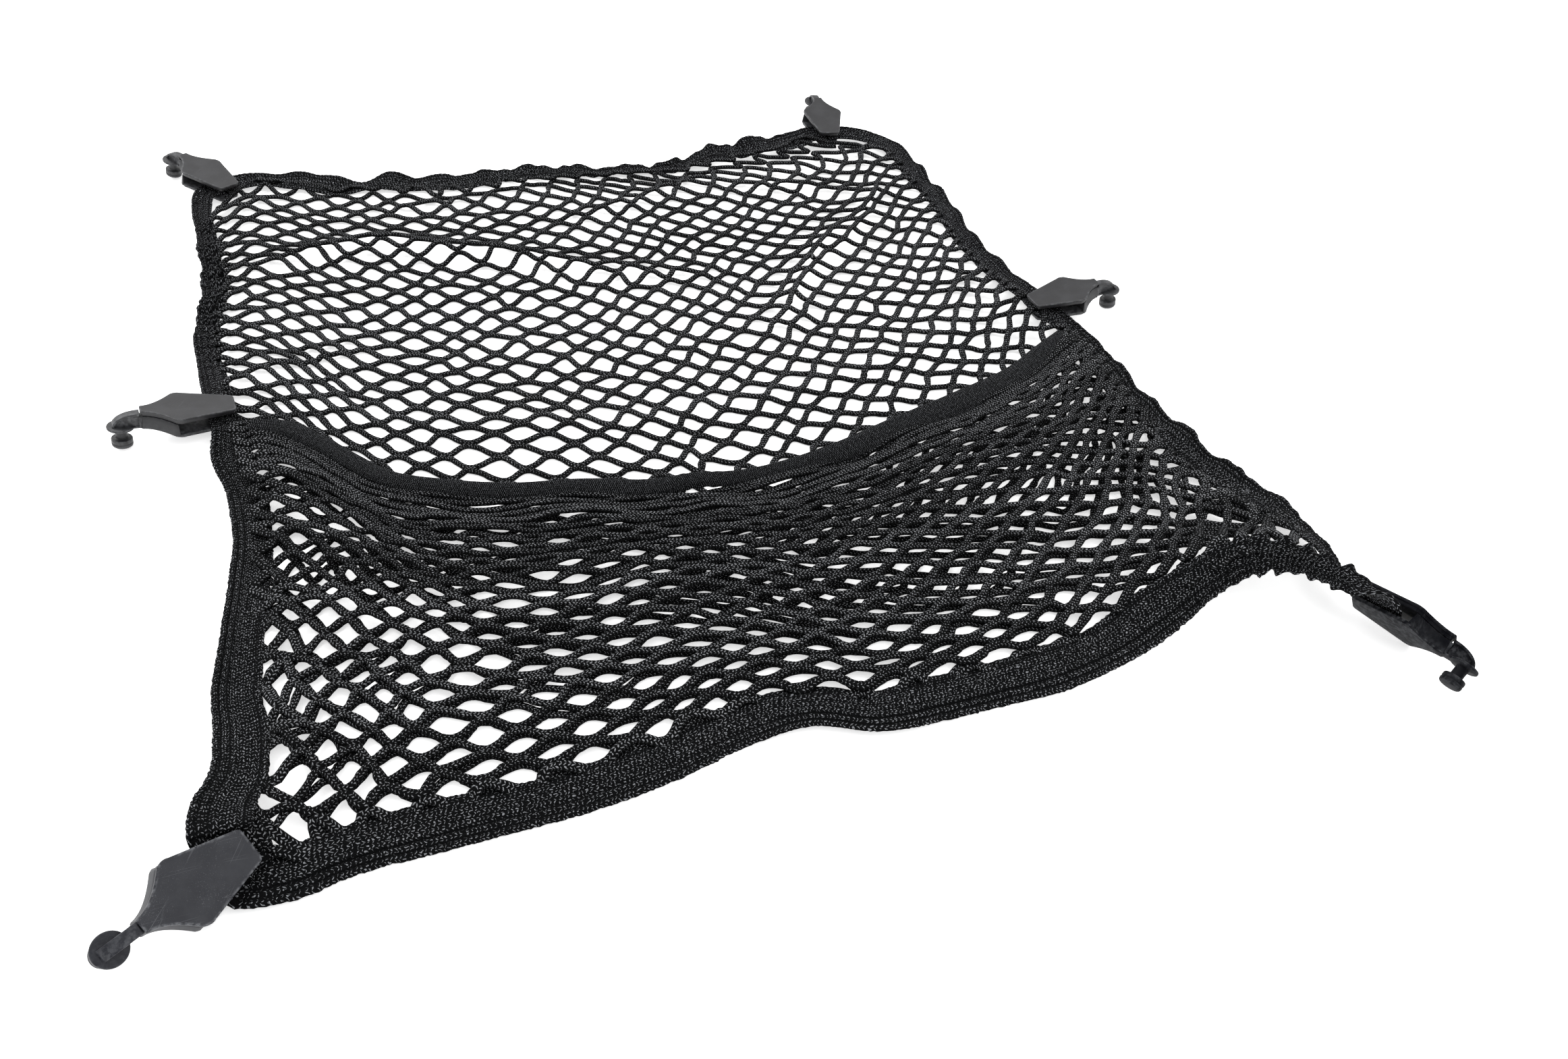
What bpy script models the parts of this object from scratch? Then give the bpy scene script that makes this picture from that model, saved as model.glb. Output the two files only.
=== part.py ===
"""Luggage net for a car boot: a knitted mesh net with a front pocket, tape binding and six hook clips.

The net lies relaxed on a flat surface.  X runs along the front edge, Y runs from the front edge to the
back edge, and Z is up.  The surface is at Z = 0.  Tables and named sizes are in millimetres, and every
mesh is built in metres.
"""

from collections import namedtuple
from math import cos, pi, radians, sin

import bmesh
import bpy
import numpy as np
from mathutils import Euler, Matrix, Vector

MM = 0.001

# Cloth, in millimetres.
TAPE_WIDTH = 18.0
TAPE_THICKNESS = 2.0
BAND_WIDTH = 13.0
BAND_THICKNESS = 2.0
NET_THICKNESS = 1.5
LAYER_RISE = 2.6
SEAM_GAP = 1.7
SEAM_DROP = 0.08
TAPE_STEP = 11.0
RUFFLE_LENGTH = 36.0
EDGE_REACH = 36.0
CORNER_REACH = 12.0
NET_ACROSS = 27
POCKET_ALONG = 15
REAR_ALONG = 17
POCKET_HUMP = 7.0

# The middle of the whole object's box on the surface.  The tables below are written from the middle of
# the net, and every part is moved so that the origin is here.
ORIGIN = np.array([3.0, 54.7, 0.0])

# Hook clip, in millimetres.  Its own origin is the tip of its neck on the top face, X runs to its far
# end, Y to its left side and Z out of its top face.
CLIP_LENGTH = 50.0
CLIP_HALF_WIDTH = 16.0
CLIP_SHOULDER = 20.0
CLIP_HALF_NECK = 3.5
CLIP_HALF_FAR_END = 8.0
CLIP_HEIGHT = 12.0
LID_RIM_HEIGHT = 1.6
LID_STEP_HEIGHT = 2.0
LID_STEP_INSET = 1.0
LID_HEIGHT = LID_RIM_HEIGHT + LID_STEP_HEIGHT
LID_GAP = 0.3
FLOOR_PLATE_HEIGHT = 2.0
BODY_INSET = 0.5
NECK_BLOCK_END = 18.5
CORNER_ROUND = 2.2
FLARE_BOW = (8.0, 0.8)
SHOULDER_BOW = 0.6
END_BOW = 0.55
FLARE_POINTS = 7
CORNER_POINTS = 4
BLOCK_FOOT = 0.6
JOIN_LAP = 0.2
TONGUE_HALF_WIDTH = 2.6
TONGUE_START = 4.0
POST_HALF_WIDTH = 2.7
POST_START = -0.9
POST_END = 3.6
STUD_REACH = 10.5
DISC_RADIUS = 7.2
DISC_TOP = 10.0
DISC_HEIGHT = 1.6
PIN_RADIUS = 3.1
COLLAR_RADIUS = 4.3
KNOB_RADIUS = 5.6
KNOB_TOP = 17.8
KNOB_GROOVE = 0.3
KNOB_GROOVE_HALF_WIDTH = 0.5
KNOB_EDGE = 1.2
STUD_ROUND = 0.5
STUD_DEPTH = 23.0
ARCH_WIDTH = 5.5
ARCH_WEB_WIDTH = 3.6
ARCH_STRAP_HEIGHT = 1.5
ARCH_TOP = 2.0
ARCH_END = 15.0
ARCH_LAP = 0.4
ARCH_POINTS = 8
ROUND_SIDES = 14

# Where the cloth lies inside a clip: its middle, measured down from the clip's top face.
TAPE_DEPTH = CLIP_HEIGHT - FLOOR_PLATE_HEIGHT - LID_GAP - TAPE_THICKNESS / 2

# Each clip: the tip of its neck on the surface plan, the way that it points, and how far it leans.
ClipPlace = namedtuple("ClipPlace", "name x y heading pitch roll")
CLIPS = (
    ClipPlace("front_left", -296.9, -239.2, 35.7, 8.2, 37.9),
    ClipPlace("middle_left", -294.5, 96.5, 4.8, 11.5, -4.5),
    ClipPlace("back_left", -261.9, 407.8, -53.8, 11.7, -6.8),
    ClipPlace("back_right", 233.2, 366.5, -99.8, 8.6, -3.7),
    ClipPlace("middle_right", 307.2, 46.0, -179.6, 6.9, 2.2),
    ClipPlace("front_right", 304.9, -293.5, 107.8, 3.6, 56.5),
)

# A tape's middle line.  A Lying row is a point over the surface, with the tape's lean (outer edge up),
# and the height of its ruffle.  A Held row is a point in a clip: along it from its neck, aside of its
# middle, the width that the tape is gathered to, its lift off the clip's floor plate, and the turn of
# its outer edge in the clip's plane, from the way of the neck.
Lying = namedtuple("Lying", "x y z lean ruffle")
Held = namedtuple("Held", "clip along aside width lift turn", defaults=(0.0, 0.0))

LEFT_TAPE = (
    Held("front_left", 36, 0.6, 15),
    Held("front_left", 36, 7, 15, 0.6),
    Held("front_left", 36, 13, 15, 2.4),
    Lying(-275, -190, 19, 12, 0),
    Lying(-268, -168, 12, 10, 0),
    Lying(-263, -142, 5, 5, 0),
    Lying(-263, -118, 1.6, 1, 0),
    Lying(-260, -94, 1, 0, 0),
    Lying(-252, -44, 1, 0, 0),
    Lying(-247, -8, 1, 0, 0),
    Lying(-248, 36, 1.6, 0, 0),
    Lying(-255, 62, 4.4, 4, 0),
    Held("middle_left", 42, -14, 15, 0.3),
    Held("middle_left", 42, 0, 15, 0.3),
    Held("middle_left", 42, 14, 15, 0.3),
    Lying(-256, 136, 3.4, 2, 1),
    Lying(-258, 166, 1.2, 0, 3),
    Lying(-257, 203, 1, 0, 4),
    Lying(-251, 240, 1, 0, 3),
    Lying(-251, 286, 1, 0, 4),
    Lying(-253, 326, 1.8, 0, 2),
    Lying(-254, 350, 4.6, 3, 0),
    Held("back_left", 38, -10, 15, 0.5),
    Held("back_left", 38, -0.6, 14),
)
BACK_TAPE = (
    Held("back_left", 38, 0.6, 14),
    Held("back_left", 38, 10, 15, 0.5),
    Lying(-214, 387, 4.2, 0, 1),
    Lying(-190, 380, 2.2, 0, 4),
    Lying(-163, 367, 1.5, 0, 4),
    Lying(-131, 356, 1, 0, 3),
    Lying(-96, 347, 1, 0, 4),
    Lying(-62, 341, 1, 0, 3),
    Lying(-25, 340, 1.2, 0, 4),
    Lying(34, 331, 1, 0, 3),
    Lying(95, 321, 1.6, 0, 5),
    Lying(134, 322, 4, 0, 6),
    Lying(168, 321, 7, 4, 5),
    Lying(194, 325, 8, 4, 2),
    Held("back_right", 38, -11, 15, 0.5),
    Held("back_right", 38, -0.6, 14),
)
RIGHT_TAPE = (
    Held("front_right", 40, -3.5, 12, 0.4, 90),
    Held("front_right", 51, -3.5, 12, 1.6, 90),
    Lying(287, -222, 15, -38, 0),
    Lying(292, -196, 10, -24, 1),
    Lying(294, -168, 5, -10, 2),
    Lying(287, -135, 1.8, 0, 3),
    Lying(280, -90, 1, 0, 4),
    Lying(279, -33, 1, 0, 4),
    Lying(279, -10, 2, 0, 2),
    Lying(275, 10, 5.4, 0, 0),
    Held("middle_right", 40, 16, 15, 0.6),
    Held("middle_right", 41.5, 0, 15, 0.3),
    Held("middle_right", 42, -15, 15, 0.5),
    Lying(263, 84, 5.4, 0, 1),
    Lying(263, 112, 1.6, 0, 3),
    Lying(263, 156, 1, 0, 4),
    Lying(269, 206, 1, 0, 4),
    Lying(271, 254, 1, 0, 5),
    Lying(273, 284, 1.6, 0, 3),
    Lying(266, 308, 4.4, 0, 1),
    Held("back_right", 38, 11, 15, 0.5),
    Held("back_right", 38, 0.6, 14),
)
FRONT_TAPE = (
    Held("front_left", 36, -0.6, 15),
    Held("front_left", 36, -7, 15, 0.7),
    Held("front_left", 36, -12.5, 15, 2.4),
    Lying(-248, -226, 2.0, 2, 0),
    Lying(-226, -222, 1, 0, 0),
    Lying(-186, -221, 1, 0, 0),
    Lying(-138, -224, 1, 0, 0),
    Lying(-87, -222, 1, 0, 0),
    Lying(-40, -214, 1, 0, 0),
    Lying(-8, -217, 2.6, 6, 0),
    Lying(20, -229, 3.0, 8, 0),
    Lying(50, -232, 1.4, 0, 0),
    Lying(80, -234, 1, 0, 0),
    Lying(118, -236, 1, 0, 0),
    Lying(158, -231, 1.6, 0, 0),
    Lying(188, -224, 6, -16, 0),
    Lying(212, -218, 14, -34, 0),
    Lying(236, -216, 22, -40, 1),
    Lying(256, -224, 28, -32, 1),
    Lying(269, -240, 31, -14, 0),
    Held("front_right", 36, 14, 15, 1.4),
    Held("front_right", 36, 5.6, 15, 0.2),
)

# The elastic band along the pocket's mouth, by its back edge.
BandRow = namedtuple("BandRow", "x y z lean")
MOUTH_BAND = (
    BandRow(-236, 79, 13.0, 4),
    BandRow(-220, 72, 13.0, 12),
    BandRow(-200, 50, 13.5, 24),
    BandRow(-186, 28, 15.0, 30),
    BandRow(-168, 4, 16.0, 34),
    BandRow(-142, -12, 16.5, 34),
    BandRow(-110, -25, 16.0, 32),
    BandRow(-70, -34, 15.5, 30),
    BandRow(-28, -48, 15.0, 30),
    BandRow(20, -55, 15.5, 32),
    BandRow(66, -51, 16.0, 34),
    BandRow(118, -39, 16.5, 34),
    BandRow(163, -28, 16.0, 32),
    BandRow(207, -14, 14.5, 26),
    BandRow(237, 2, 13.5, 14),
    BandRow(257.6, 12, 13.5, 4),
)

# The corners of both nets: each lies near the far end of its corner clip.
CORNERS = {
    "front_left": (-257, -205, 8.0),
    "front_right": (268, -211, 24.0),
    "back_left": (-233.1, 366.7, 3.2),
    "back_right": (223.9, 316.2, 5.3),
}

# Soft folds of the main net behind the pocket: the ridge's middle, the way that it runs, and its size.
Fold = namedtuple("Fold", "x y heading half_length half_width height")
FOLDS = (
    Fold(-190, 274, -2, 62, 13, 8.0),
    Fold(-88, 243, -28, 66, 12, 9.0),
    Fold(10, 190, -26, 60, 12, 5.0),
    Fold(-60, 322, 4, 90, 9, 6.0),
    Fold(135, 145, 52, 70, 15, 8.0),
    Fold(205, 205, 50, 60, 14, 7.0),
    Fold(178, 262, -20, 55, 12, 5.0),
    Fold(-205, 150, 10, 40, 12, 3.5),
    Fold(60, 285, 18, 70, 11, 5.0),
)

FABRIC = dict(color=(0.016, 0.017, 0.019), roughness=0.86, metallic=0.0)
BAND_FABRIC = dict(color=(0.022, 0.023, 0.026), roughness=0.82, metallic=0.0)
LID_PLASTIC = dict(color=(0.052, 0.054, 0.060), roughness=0.55, metallic=0.0)
BODY_PLASTIC = dict(color=(0.040, 0.042, 0.047), roughness=0.58, metallic=0.0)


# ---------------------------------------------------------------- scene, collections and materials

def clear_scene():
    """Remove every object that the file starts with."""
    for item in list(bpy.data.objects):
        bpy.data.objects.remove(item, do_unlink=True)


def new_collection(name):
    """Make a collection in the scene."""
    collection = bpy.data.collections.new(name)
    bpy.context.scene.collection.children.link(collection)
    return collection


def new_material(name, finish):
    """Make a Principled material from a finish table."""
    material = bpy.data.materials.new(name)
    material.use_nodes = True
    shader = material.node_tree.nodes["Principled BSDF"]
    shader.inputs["Base Color"].default_value = (*finish["color"], 1.0)
    shader.inputs["Roughness"].default_value = finish["roughness"]
    shader.inputs["Metallic"].default_value = finish["metallic"]
    return material


def add_object(collection, name, mesh, material):
    """Put a mesh into the collection under its part name, with the part's material."""
    part = bpy.data.objects.new(name, mesh)
    collection.objects.link(part)
    part.data.materials.clear()
    part.data.materials.append(material)
    return part


def evaluated_mesh(part, name):
    """Return the part's mesh with its modifiers applied."""
    graph = bpy.context.evaluated_depsgraph_get()
    mesh = bpy.data.meshes.new_from_object(part.evaluated_get(graph))
    mesh.name = name
    return mesh


# ---------------------------------------------------------------- routes

def arc_lengths(points):
    """Return the distance along a line of points, from its first point."""
    steps = np.linalg.norm(np.diff(points, axis=0), axis=1)
    return np.concatenate([[0.0], np.cumsum(steps)])


def smooth_rows(knots, rows, wanted):
    """Read rows of values, given at the knots, from a smooth curve (cubic Hermite) at the wanted places."""
    slopes = np.gradient(rows, knots, axis=0)
    index = np.clip(np.searchsorted(knots, wanted, side="right") - 1, 0, len(knots) - 2)
    span = (knots[index + 1] - knots[index])[:, None]
    t = (wanted[:, None] - knots[index][:, None]) / span
    return ((2 * t**3 - 3 * t**2 + 1) * rows[index] + (t**3 - 2 * t**2 + t) * span * slopes[index]
            + (3 * t**2 - 2 * t**3) * rows[index + 1] + (t**3 - t**2) * span * slopes[index + 1])


def unit_rows(vectors):
    """Scale each row to length one."""
    return vectors / np.linalg.norm(vectors, axis=1)[:, None]


def leaning_across(tangent, lean):
    """Return the unit vector to the outer side of a tape: level, then turned up about the tape by lean."""
    level = Vector((tangent[1], -tangent[0], 0.0)).normalized()
    return cos(radians(lean)) * level + sin(radians(lean)) * Vector((0, 0, 1))


def tape_frames(stations, clip_frames, outer_sign):
    """Return the middle points, outward vectors, half widths and ruffle heights at a tape's stations."""
    middles = []
    for row in stations:
        if isinstance(row, Held):
            point = clip_frames[row.clip] @ Vector((row.along, row.aside, row.lift - TAPE_DEPTH))
        else:
            point = Vector((row.x, row.y, row.z))
        middles.append(point)
    middles = np.array(middles)
    tangents = np.gradient(middles, arc_lengths(middles), axis=0)
    outward, half_widths, ruffles = [], [], []
    for row, tangent in zip(stations, tangents):
        if isinstance(row, Held):
            turn = radians(row.turn)
            outward.append(clip_frames[row.clip].to_3x3() @ Vector((-cos(turn), -sin(turn), 0)))
            half_widths.append(row.width / 2)
            ruffles.append(0.0)
        else:
            outward.append(leaning_across(outer_sign * tangent, row.lean))
            half_widths.append(TAPE_WIDTH / 2)
            ruffles.append(row.ruffle)
    return middles, np.array(outward), np.array(half_widths), np.array(ruffles)


def tape_surface(stations, clip_frames, outer_sign):
    """Return the tape as a grid: a row for each step along it, and inner, middle and outer columns.

    The middle line is a smooth curve through the stations.  The outer edge rises and falls as a sine of
    the distance along the tape, times the ruffle height, and the middle column takes part of it.
    """
    middles, outward, half_widths, ruffles = tape_frames(stations, clip_frames, outer_sign)
    knots = arc_lengths(middles)
    count = int(round(knots[-1] / TAPE_STEP)) + 1
    wanted = np.linspace(0.0, knots[-1], count)
    rows = np.column_stack([middles, outward, half_widths, ruffles])
    sampled = smooth_rows(knots, rows, wanted)
    middle, across = sampled[:, 0:3], sampled[:, 3:6]
    tangents = unit_rows(np.gradient(middle, wanted, axis=0))
    across = unit_rows(across - np.sum(across * tangents, axis=1)[:, None] * tangents)
    half_width = sampled[:, 6:7]
    wave = 0.5 - 0.5 * np.cos(2 * pi * wanted / RUFFLE_LENGTH)
    lift = np.maximum(sampled[:, 7], 0.0) * wave
    up = np.array([0.0, 0.0, 1.0])
    inner = middle - across * half_width
    outer = middle + across * half_width + lift[:, None] * up
    centre = middle + 0.35 * lift[:, None] * up
    surface = np.stack([inner, centre, outer], axis=1)
    surface[:, :, 2] = np.maximum(surface[:, :, 2], TAPE_THICKNESS / 2)
    return surface


def band_surface():
    """Return the mouth band as a grid of front, middle and back columns, leaning up to its back edge."""
    back = np.array([(row.x, row.y, row.z) for row in MOUTH_BAND])
    knots = arc_lengths(back)
    rows = np.column_stack([back, [row.lean for row in MOUTH_BAND]])
    wanted = np.linspace(0.0, knots[-1], int(round(knots[-1] / TAPE_STEP)) + 1)
    sampled = smooth_rows(knots, rows, wanted)
    back, lean = sampled[:, 0:3], np.radians(sampled[:, 3])
    tangents = unit_rows(np.gradient(back, wanted, axis=0))
    forward = unit_rows(np.column_stack([tangents[:, 1], -tangents[:, 0], np.zeros(len(lean))]))
    down = np.array([0.0, 0.0, -1.0])
    toward = np.cos(lean)[:, None] * forward + np.sin(lean)[:, None] * down
    return np.stack([back + toward * BAND_WIDTH, back + toward * BAND_WIDTH / 2, back], axis=1)


# ---------------------------------------------------------------- nets

def even_samples(line, count):
    """Read a line of points at evenly spaced places along it."""
    knots = arc_lengths(line)
    return smooth_rows(knots, line, np.linspace(0.0, knots[-1], count))


def seam_line(surface, first_corner, last_corner, count):
    """Return a net's edge beside a tape: the tape's inner edge, drawn in by the gap and to the corners."""
    inner = surface[:, 0]
    across = unit_rows(surface[:, 0] - surface[:, 1])
    line = even_samples(inner + SEAM_GAP * across, count)
    share = np.linspace(0.0, 1.0, count)[:, None]
    length = arc_lengths(line)[-1]
    pull = CORNER_REACH / length
    start = (first_corner - line[0]) * np.exp(-(share / pull) ** 2)
    end = (last_corner - line[-1]) * np.exp(-((1 - share) / pull) ** 2)
    return line + start + end


def patch_plan(front, back, left, right):
    """Return a patch between four edges in plan: the sum of both side-to-side blends, less the corners."""
    u = np.linspace(0, 1, front.shape[0])[None, :, None]
    v = np.linspace(0, 1, left.shape[0])[:, None, None]
    sides = (1 - u) * left[:, None] + u * right[:, None]
    ends = (1 - v) * front[None] + v * back[None]
    corners = ((1 - u) * (1 - v) * front[0] + u * (1 - v) * front[-1]
               + (1 - u) * v * back[0] + u * v * back[-1])
    return (sides + ends - corners)[:, :, :2]


def lying_height(plan, seams):
    """Return the middle height of cloth that lies on the floor and is held up at its seams.

    It is the seams' height, weighted to the near seam points, times a bell of the distance to the
    nearest one, and never under half of the cloth's thickness.
    """
    points = np.vstack(seams)
    offsets = plan[:, :, None, :] - points[None, None, :, :2]
    squared = np.sum(offsets**2, axis=3)
    weights = 1 / (squared + 1) ** 1.5
    near_height = np.sum(weights * points[:, 2], axis=2) / np.sum(weights, axis=2)
    bell = np.exp(-np.min(squared, axis=2) / EDGE_REACH**2)
    return np.maximum((1 - SEAM_DROP) * near_height * bell, NET_THICKNESS / 2)


def fold_heights(x, y):
    """Return the height of the soft folds: each is a bell across its ridge, fading at both of its ends."""
    total = np.zeros_like(x)
    for fold in FOLDS:
        turn = radians(fold.heading)
        along = (x - fold.x) * cos(turn) + (y - fold.y) * sin(turn)
        across = (y - fold.y) * cos(turn) - (x - fold.x) * sin(turn)
        bell = np.exp(-(across / fold.half_width) ** 2 - (along / fold.half_length) ** 4)
        total = total + fold.height * bell
    return total


def edge_fade(plan):
    """Return 1 inside a patch and 0 on its edges, with a smooth step between, in patch shares."""
    v = np.linspace(0, 1, plan.shape[0])[:, None]
    u = np.linspace(0, 1, plan.shape[1])[None, :]
    return (1 - (2 * u - 1) ** 6) * (1 - (2 * v - 1) ** 6)


def part_of_line(surface, axis, low, high):
    """Return the stretch of a tape's grid whose inner edge lies between two places along X or Y."""
    inside = (surface[:, 0, axis] > low) & (surface[:, 0, axis] < high)
    return surface[inside]


def seam_height_at(surface, y):
    """Return the height of a side tape's inner edge at a place along Y."""
    order = np.argsort(surface[:, 0, 1])
    return np.interp(y, surface[order, 0, 1], surface[order, 0, 2])


def net_seams(tapes, band):
    """Return the seam lines of both nets by name, and the pocket's mouth line."""
    mouth = even_samples(band[:, 0] + SEAM_GAP * unit_rows(band[:, 0] - band[:, 1]), NET_ACROSS)
    corners = {name: np.array(point, float) for name, point in CORNERS.items()}
    seams = {}
    front_end = corners["front_right"][0] - TAPE_WIDTH / 2
    front_tape = part_of_line(tapes["front"], 0, corners["front_left"][0], front_end)
    seams["front"] = seam_line(front_tape, corners["front_left"], corners["front_right"], NET_ACROSS)
    seams["back"] = seam_line(tapes["back"], corners["back_left"], corners["back_right"], NET_ACROSS)
    for side, end in (("left", mouth[0]), ("right", mouth[-1])):
        first, last = corners[f"front_{side}"], corners[f"back_{side}"]
        end = end * (1, 1, 0) + (0, 0, seam_height_at(tapes[side], end[1]))
        near = part_of_line(tapes[side], 1, first[1], end[1])
        far = part_of_line(tapes[side], 1, end[1], last[1])
        seams[f"{side}_near"] = seam_line(near, first, end, POCKET_ALONG)
        seams[f"{side}_far"] = seam_line(far, end, last, REAR_ALONG)
    return seams, mouth


def main_net_surface(near_plan, far_plan, seams):
    """Return the main net's middle surface: under the pocket, and behind it over its soft folds."""
    near = lying_height(near_plan, seams)
    folds = fold_heights(far_plan[:, :, 0], far_plan[:, :, 1])
    far = lying_height(far_plan, seams) + edge_fade(far_plan) * folds
    return np.vstack([np.dstack([near_plan, near]), np.dstack([far_plan, far])[1:]])


def pocket_surface(plan, seams, mouth):
    """Return the pocket net's middle surface, from the front tape up over a hump to the mouth band.

    It lies over the main net by the layer rise.  Where that is more, its height is the mouth's height
    times a power of the share of the way back, plus a hump that is a sine of that share.
    """
    v = np.linspace(0, 1, plan.shape[0])[:, None]
    u = np.linspace(0, 1, plan.shape[1])[None, :]
    over = lying_height(plan, seams) + LAYER_RISE
    hump = POCKET_HUMP * np.sin(pi * v ** 1.3) * (1 - (2 * u - 1) ** 4) * (1 + 0.25 * np.cos(4 * pi * u))
    height = np.maximum(over, v ** 1.6 * mouth[None, :, 2] + hump)
    return np.dstack([plan, height])


def sheet_part(collection, name, surface, thickness, material):
    """Make a cloth part: an open grid surface that a Solidify modifier thickens evenly to both sides."""
    rows, columns = surface.shape[:2]
    points = (surface - ORIGIN).reshape(-1, 3) * MM
    first = (np.arange(rows - 1)[:, None] * columns + np.arange(columns - 1)[None, :]).ravel()
    faces = np.column_stack([first, first + 1, first + 1 + columns, first + columns])
    mesh = bpy.data.meshes.new(name)
    mesh.from_pydata(points.tolist(), [], faces.tolist())
    mesh.shade_smooth()
    part = add_object(collection, name, mesh, material)
    wall = part.modifiers.new("cloth thickness", "SOLIDIFY")
    wall.thickness = thickness * MM
    wall.offset = 0.0
    wall.use_even_offset = True
    return part


# ---------------------------------------------------------------- clips

def curve_points(start, control, end, count):
    """Return points on a curve that leaves start for control and comes from control to end."""
    t = np.linspace(0, 1, count)[:, None]
    start, control, end = (np.array(point, float) for point in (start, control, end))
    return (1 - t) ** 2 * start + 2 * t * (1 - t) * control + t**2 * end


def clip_outline(inset, far_end):
    """Return a clip's kite outline: a flared neck, round shoulders, a straight taper and a blunt end."""
    half_neck = CLIP_HALF_NECK - inset
    half_width = CLIP_HALF_WIDTH - inset
    half_end = CLIP_HALF_FAR_END - inset
    flare_end = (CLIP_SHOULDER - CORNER_ROUND - 1, half_width - 2 * SHOULDER_BOW)
    flare = curve_points((inset, half_neck), (FLARE_BOW[0], half_neck + FLARE_BOW[1]),
                         flare_end, FLARE_POINTS)
    shoulder = curve_points(flare_end, (CLIP_SHOULDER - inset / 2, half_width + SHOULDER_BOW),
                            (CLIP_SHOULDER + CORNER_ROUND, half_width - SHOULDER_BOW), CORNER_POINTS)
    corner = curve_points((far_end - CORNER_ROUND, half_end + END_BOW), (far_end, half_end),
                          (far_end, half_end - CORNER_ROUND), CORNER_POINTS)
    half = np.vstack([flare, shoulder[1:], corner])
    return np.vstack([half, half[::-1] * (1, -1)])


def neck_block_outline():
    """Return the outline of the solid block under the neck, cut straight across behind the shoulders."""
    outline = clip_outline(BODY_INSET, CLIP_LENGTH - BODY_INSET)
    kept = outline[outline[:, 0] < NECK_BLOCK_END]
    half = kept[kept[:, 1] > 0]
    edge = np.array([[NECK_BLOCK_END, half[-1, 1]]])
    half = np.vstack([half, edge])
    return np.vstack([half, half[::-1] * (1, -1)])


def slab(name, outline, top, bottom):
    """Make a flat slab from an outline: a filled 2D curve with an extrude, made a mesh with welded caps."""
    curve = bpy.data.curves.new(name, "CURVE")
    curve.dimensions = "2D"
    curve.fill_mode = "BOTH"
    curve.extrude = (top - bottom) / 2 * MM
    spline = curve.splines.new("POLY")
    spline.points.add(len(outline) - 1)
    spline.points.foreach_set("co", np.column_stack(
        [outline * MM, np.zeros(len(outline)), np.ones(len(outline))]).ravel())
    spline.use_cyclic_u = True
    guide = bpy.data.objects.new(name, curve)
    guide.matrix_world = Matrix.Translation((0, 0, (top + bottom) / 2 * MM))
    bpy.context.scene.collection.objects.link(guide)
    bpy.context.view_layer.update()
    mesh = evaluated_mesh(guide, name)
    mesh.transform(guide.matrix_world)
    bpy.data.objects.remove(guide, do_unlink=True)
    weld(mesh)
    return mesh


def weld(mesh):
    """Merge the loose caps of a mesh and turn its faces outwards."""
    work = bmesh.new()
    work.from_mesh(mesh)
    bmesh.ops.remove_doubles(work, verts=work.verts, dist=0.00001)
    bmesh.ops.recalc_face_normals(work, faces=work.faces)
    work.to_mesh(mesh)
    work.free()


def stud_mesh():
    """Make the disc, pin and knob: one profile, top to bottom, turned by a Screw modifier."""
    disc_bottom = DISC_TOP + DISC_HEIGHT
    knob_middle = (KNOB_TOP + STUD_DEPTH) / 2
    groove_radius = KNOB_RADIUS - KNOB_GROOVE
    profile = (
        (0.0, DISC_TOP),
        (DISC_RADIUS - STUD_ROUND, DISC_TOP),
        (DISC_RADIUS, DISC_TOP + STUD_ROUND),
        (DISC_RADIUS, disc_bottom - STUD_ROUND / 2),
        (DISC_RADIUS - STUD_ROUND, disc_bottom),
        (PIN_RADIUS, disc_bottom),
        (PIN_RADIUS, KNOB_TOP - STUD_ROUND),
        (COLLAR_RADIUS, KNOB_TOP),
        (KNOB_RADIUS - STUD_ROUND, KNOB_TOP),
        (KNOB_RADIUS, KNOB_TOP + STUD_ROUND),
        (KNOB_RADIUS, knob_middle - KNOB_GROOVE_HALF_WIDTH),
        (groove_radius, knob_middle),
        (KNOB_RADIUS, knob_middle + KNOB_GROOVE_HALF_WIDTH),
        (KNOB_RADIUS - KNOB_GROOVE, STUD_DEPTH - STUD_ROUND),
        (KNOB_RADIUS - KNOB_EDGE, STUD_DEPTH),
        (0.0, STUD_DEPTH),
    )
    mesh = bpy.data.meshes.new("stud profile")
    points = [(radius * MM, 0.0, -depth * MM) for radius, depth in profile]
    mesh.from_pydata(points, [(i, i + 1) for i in range(len(points) - 1)], [])
    guide = bpy.data.objects.new("stud profile", mesh)
    bpy.context.scene.collection.objects.link(guide)
    turn = guide.modifiers.new("turn", "SCREW")
    turn.steps = ROUND_SIDES
    turn.render_steps = ROUND_SIDES
    turn.use_merge_vertices = True
    turn.merge_threshold = 0.00001
    bpy.context.view_layer.update()
    stud = evaluated_mesh(guide, "stud")
    bpy.data.objects.remove(guide, do_unlink=True)
    stud.transform(Matrix.Translation((-STUD_REACH * MM, 0, 0)))
    weld(stud)
    return stud


def arch_outline(shrink):
    """Return the side view of the arch: from the neck, level, then round and down to the disc."""
    foot = DISC_TOP + ARCH_LAP
    angles = np.linspace(0, pi / 2, ARCH_POINTS)
    reach = ARCH_END - shrink
    drop = foot - ARCH_TOP - shrink
    bow = np.column_stack([-reach * np.sin(angles), drop * np.cos(angles) - foot])
    return np.vstack([[(-LID_GAP, bow[0, 1])], bow[1:]])


def arch_strap_mesh():
    """Make the strap that arches from the neck to the disc, with its height following the arch."""
    outer = arch_outline(0.0)
    inner = arch_outline(ARCH_STRAP_HEIGHT)
    return upright_slab("strap", np.vstack([outer, inner[::-1]]), ARCH_WIDTH)


def arch_web_mesh():
    """Make the narrower web that fills the arch between the strap and the disc."""
    outer = arch_outline(ARCH_STRAP_HEIGHT / 2)
    foot_height = outer[-1, 1] - STUD_ROUND
    foot = np.array([[-LID_GAP, foot_height], [outer[-1, 0], foot_height]])
    return upright_slab("web", np.vstack([outer, foot[::-1]]), ARCH_WEB_WIDTH)


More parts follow.
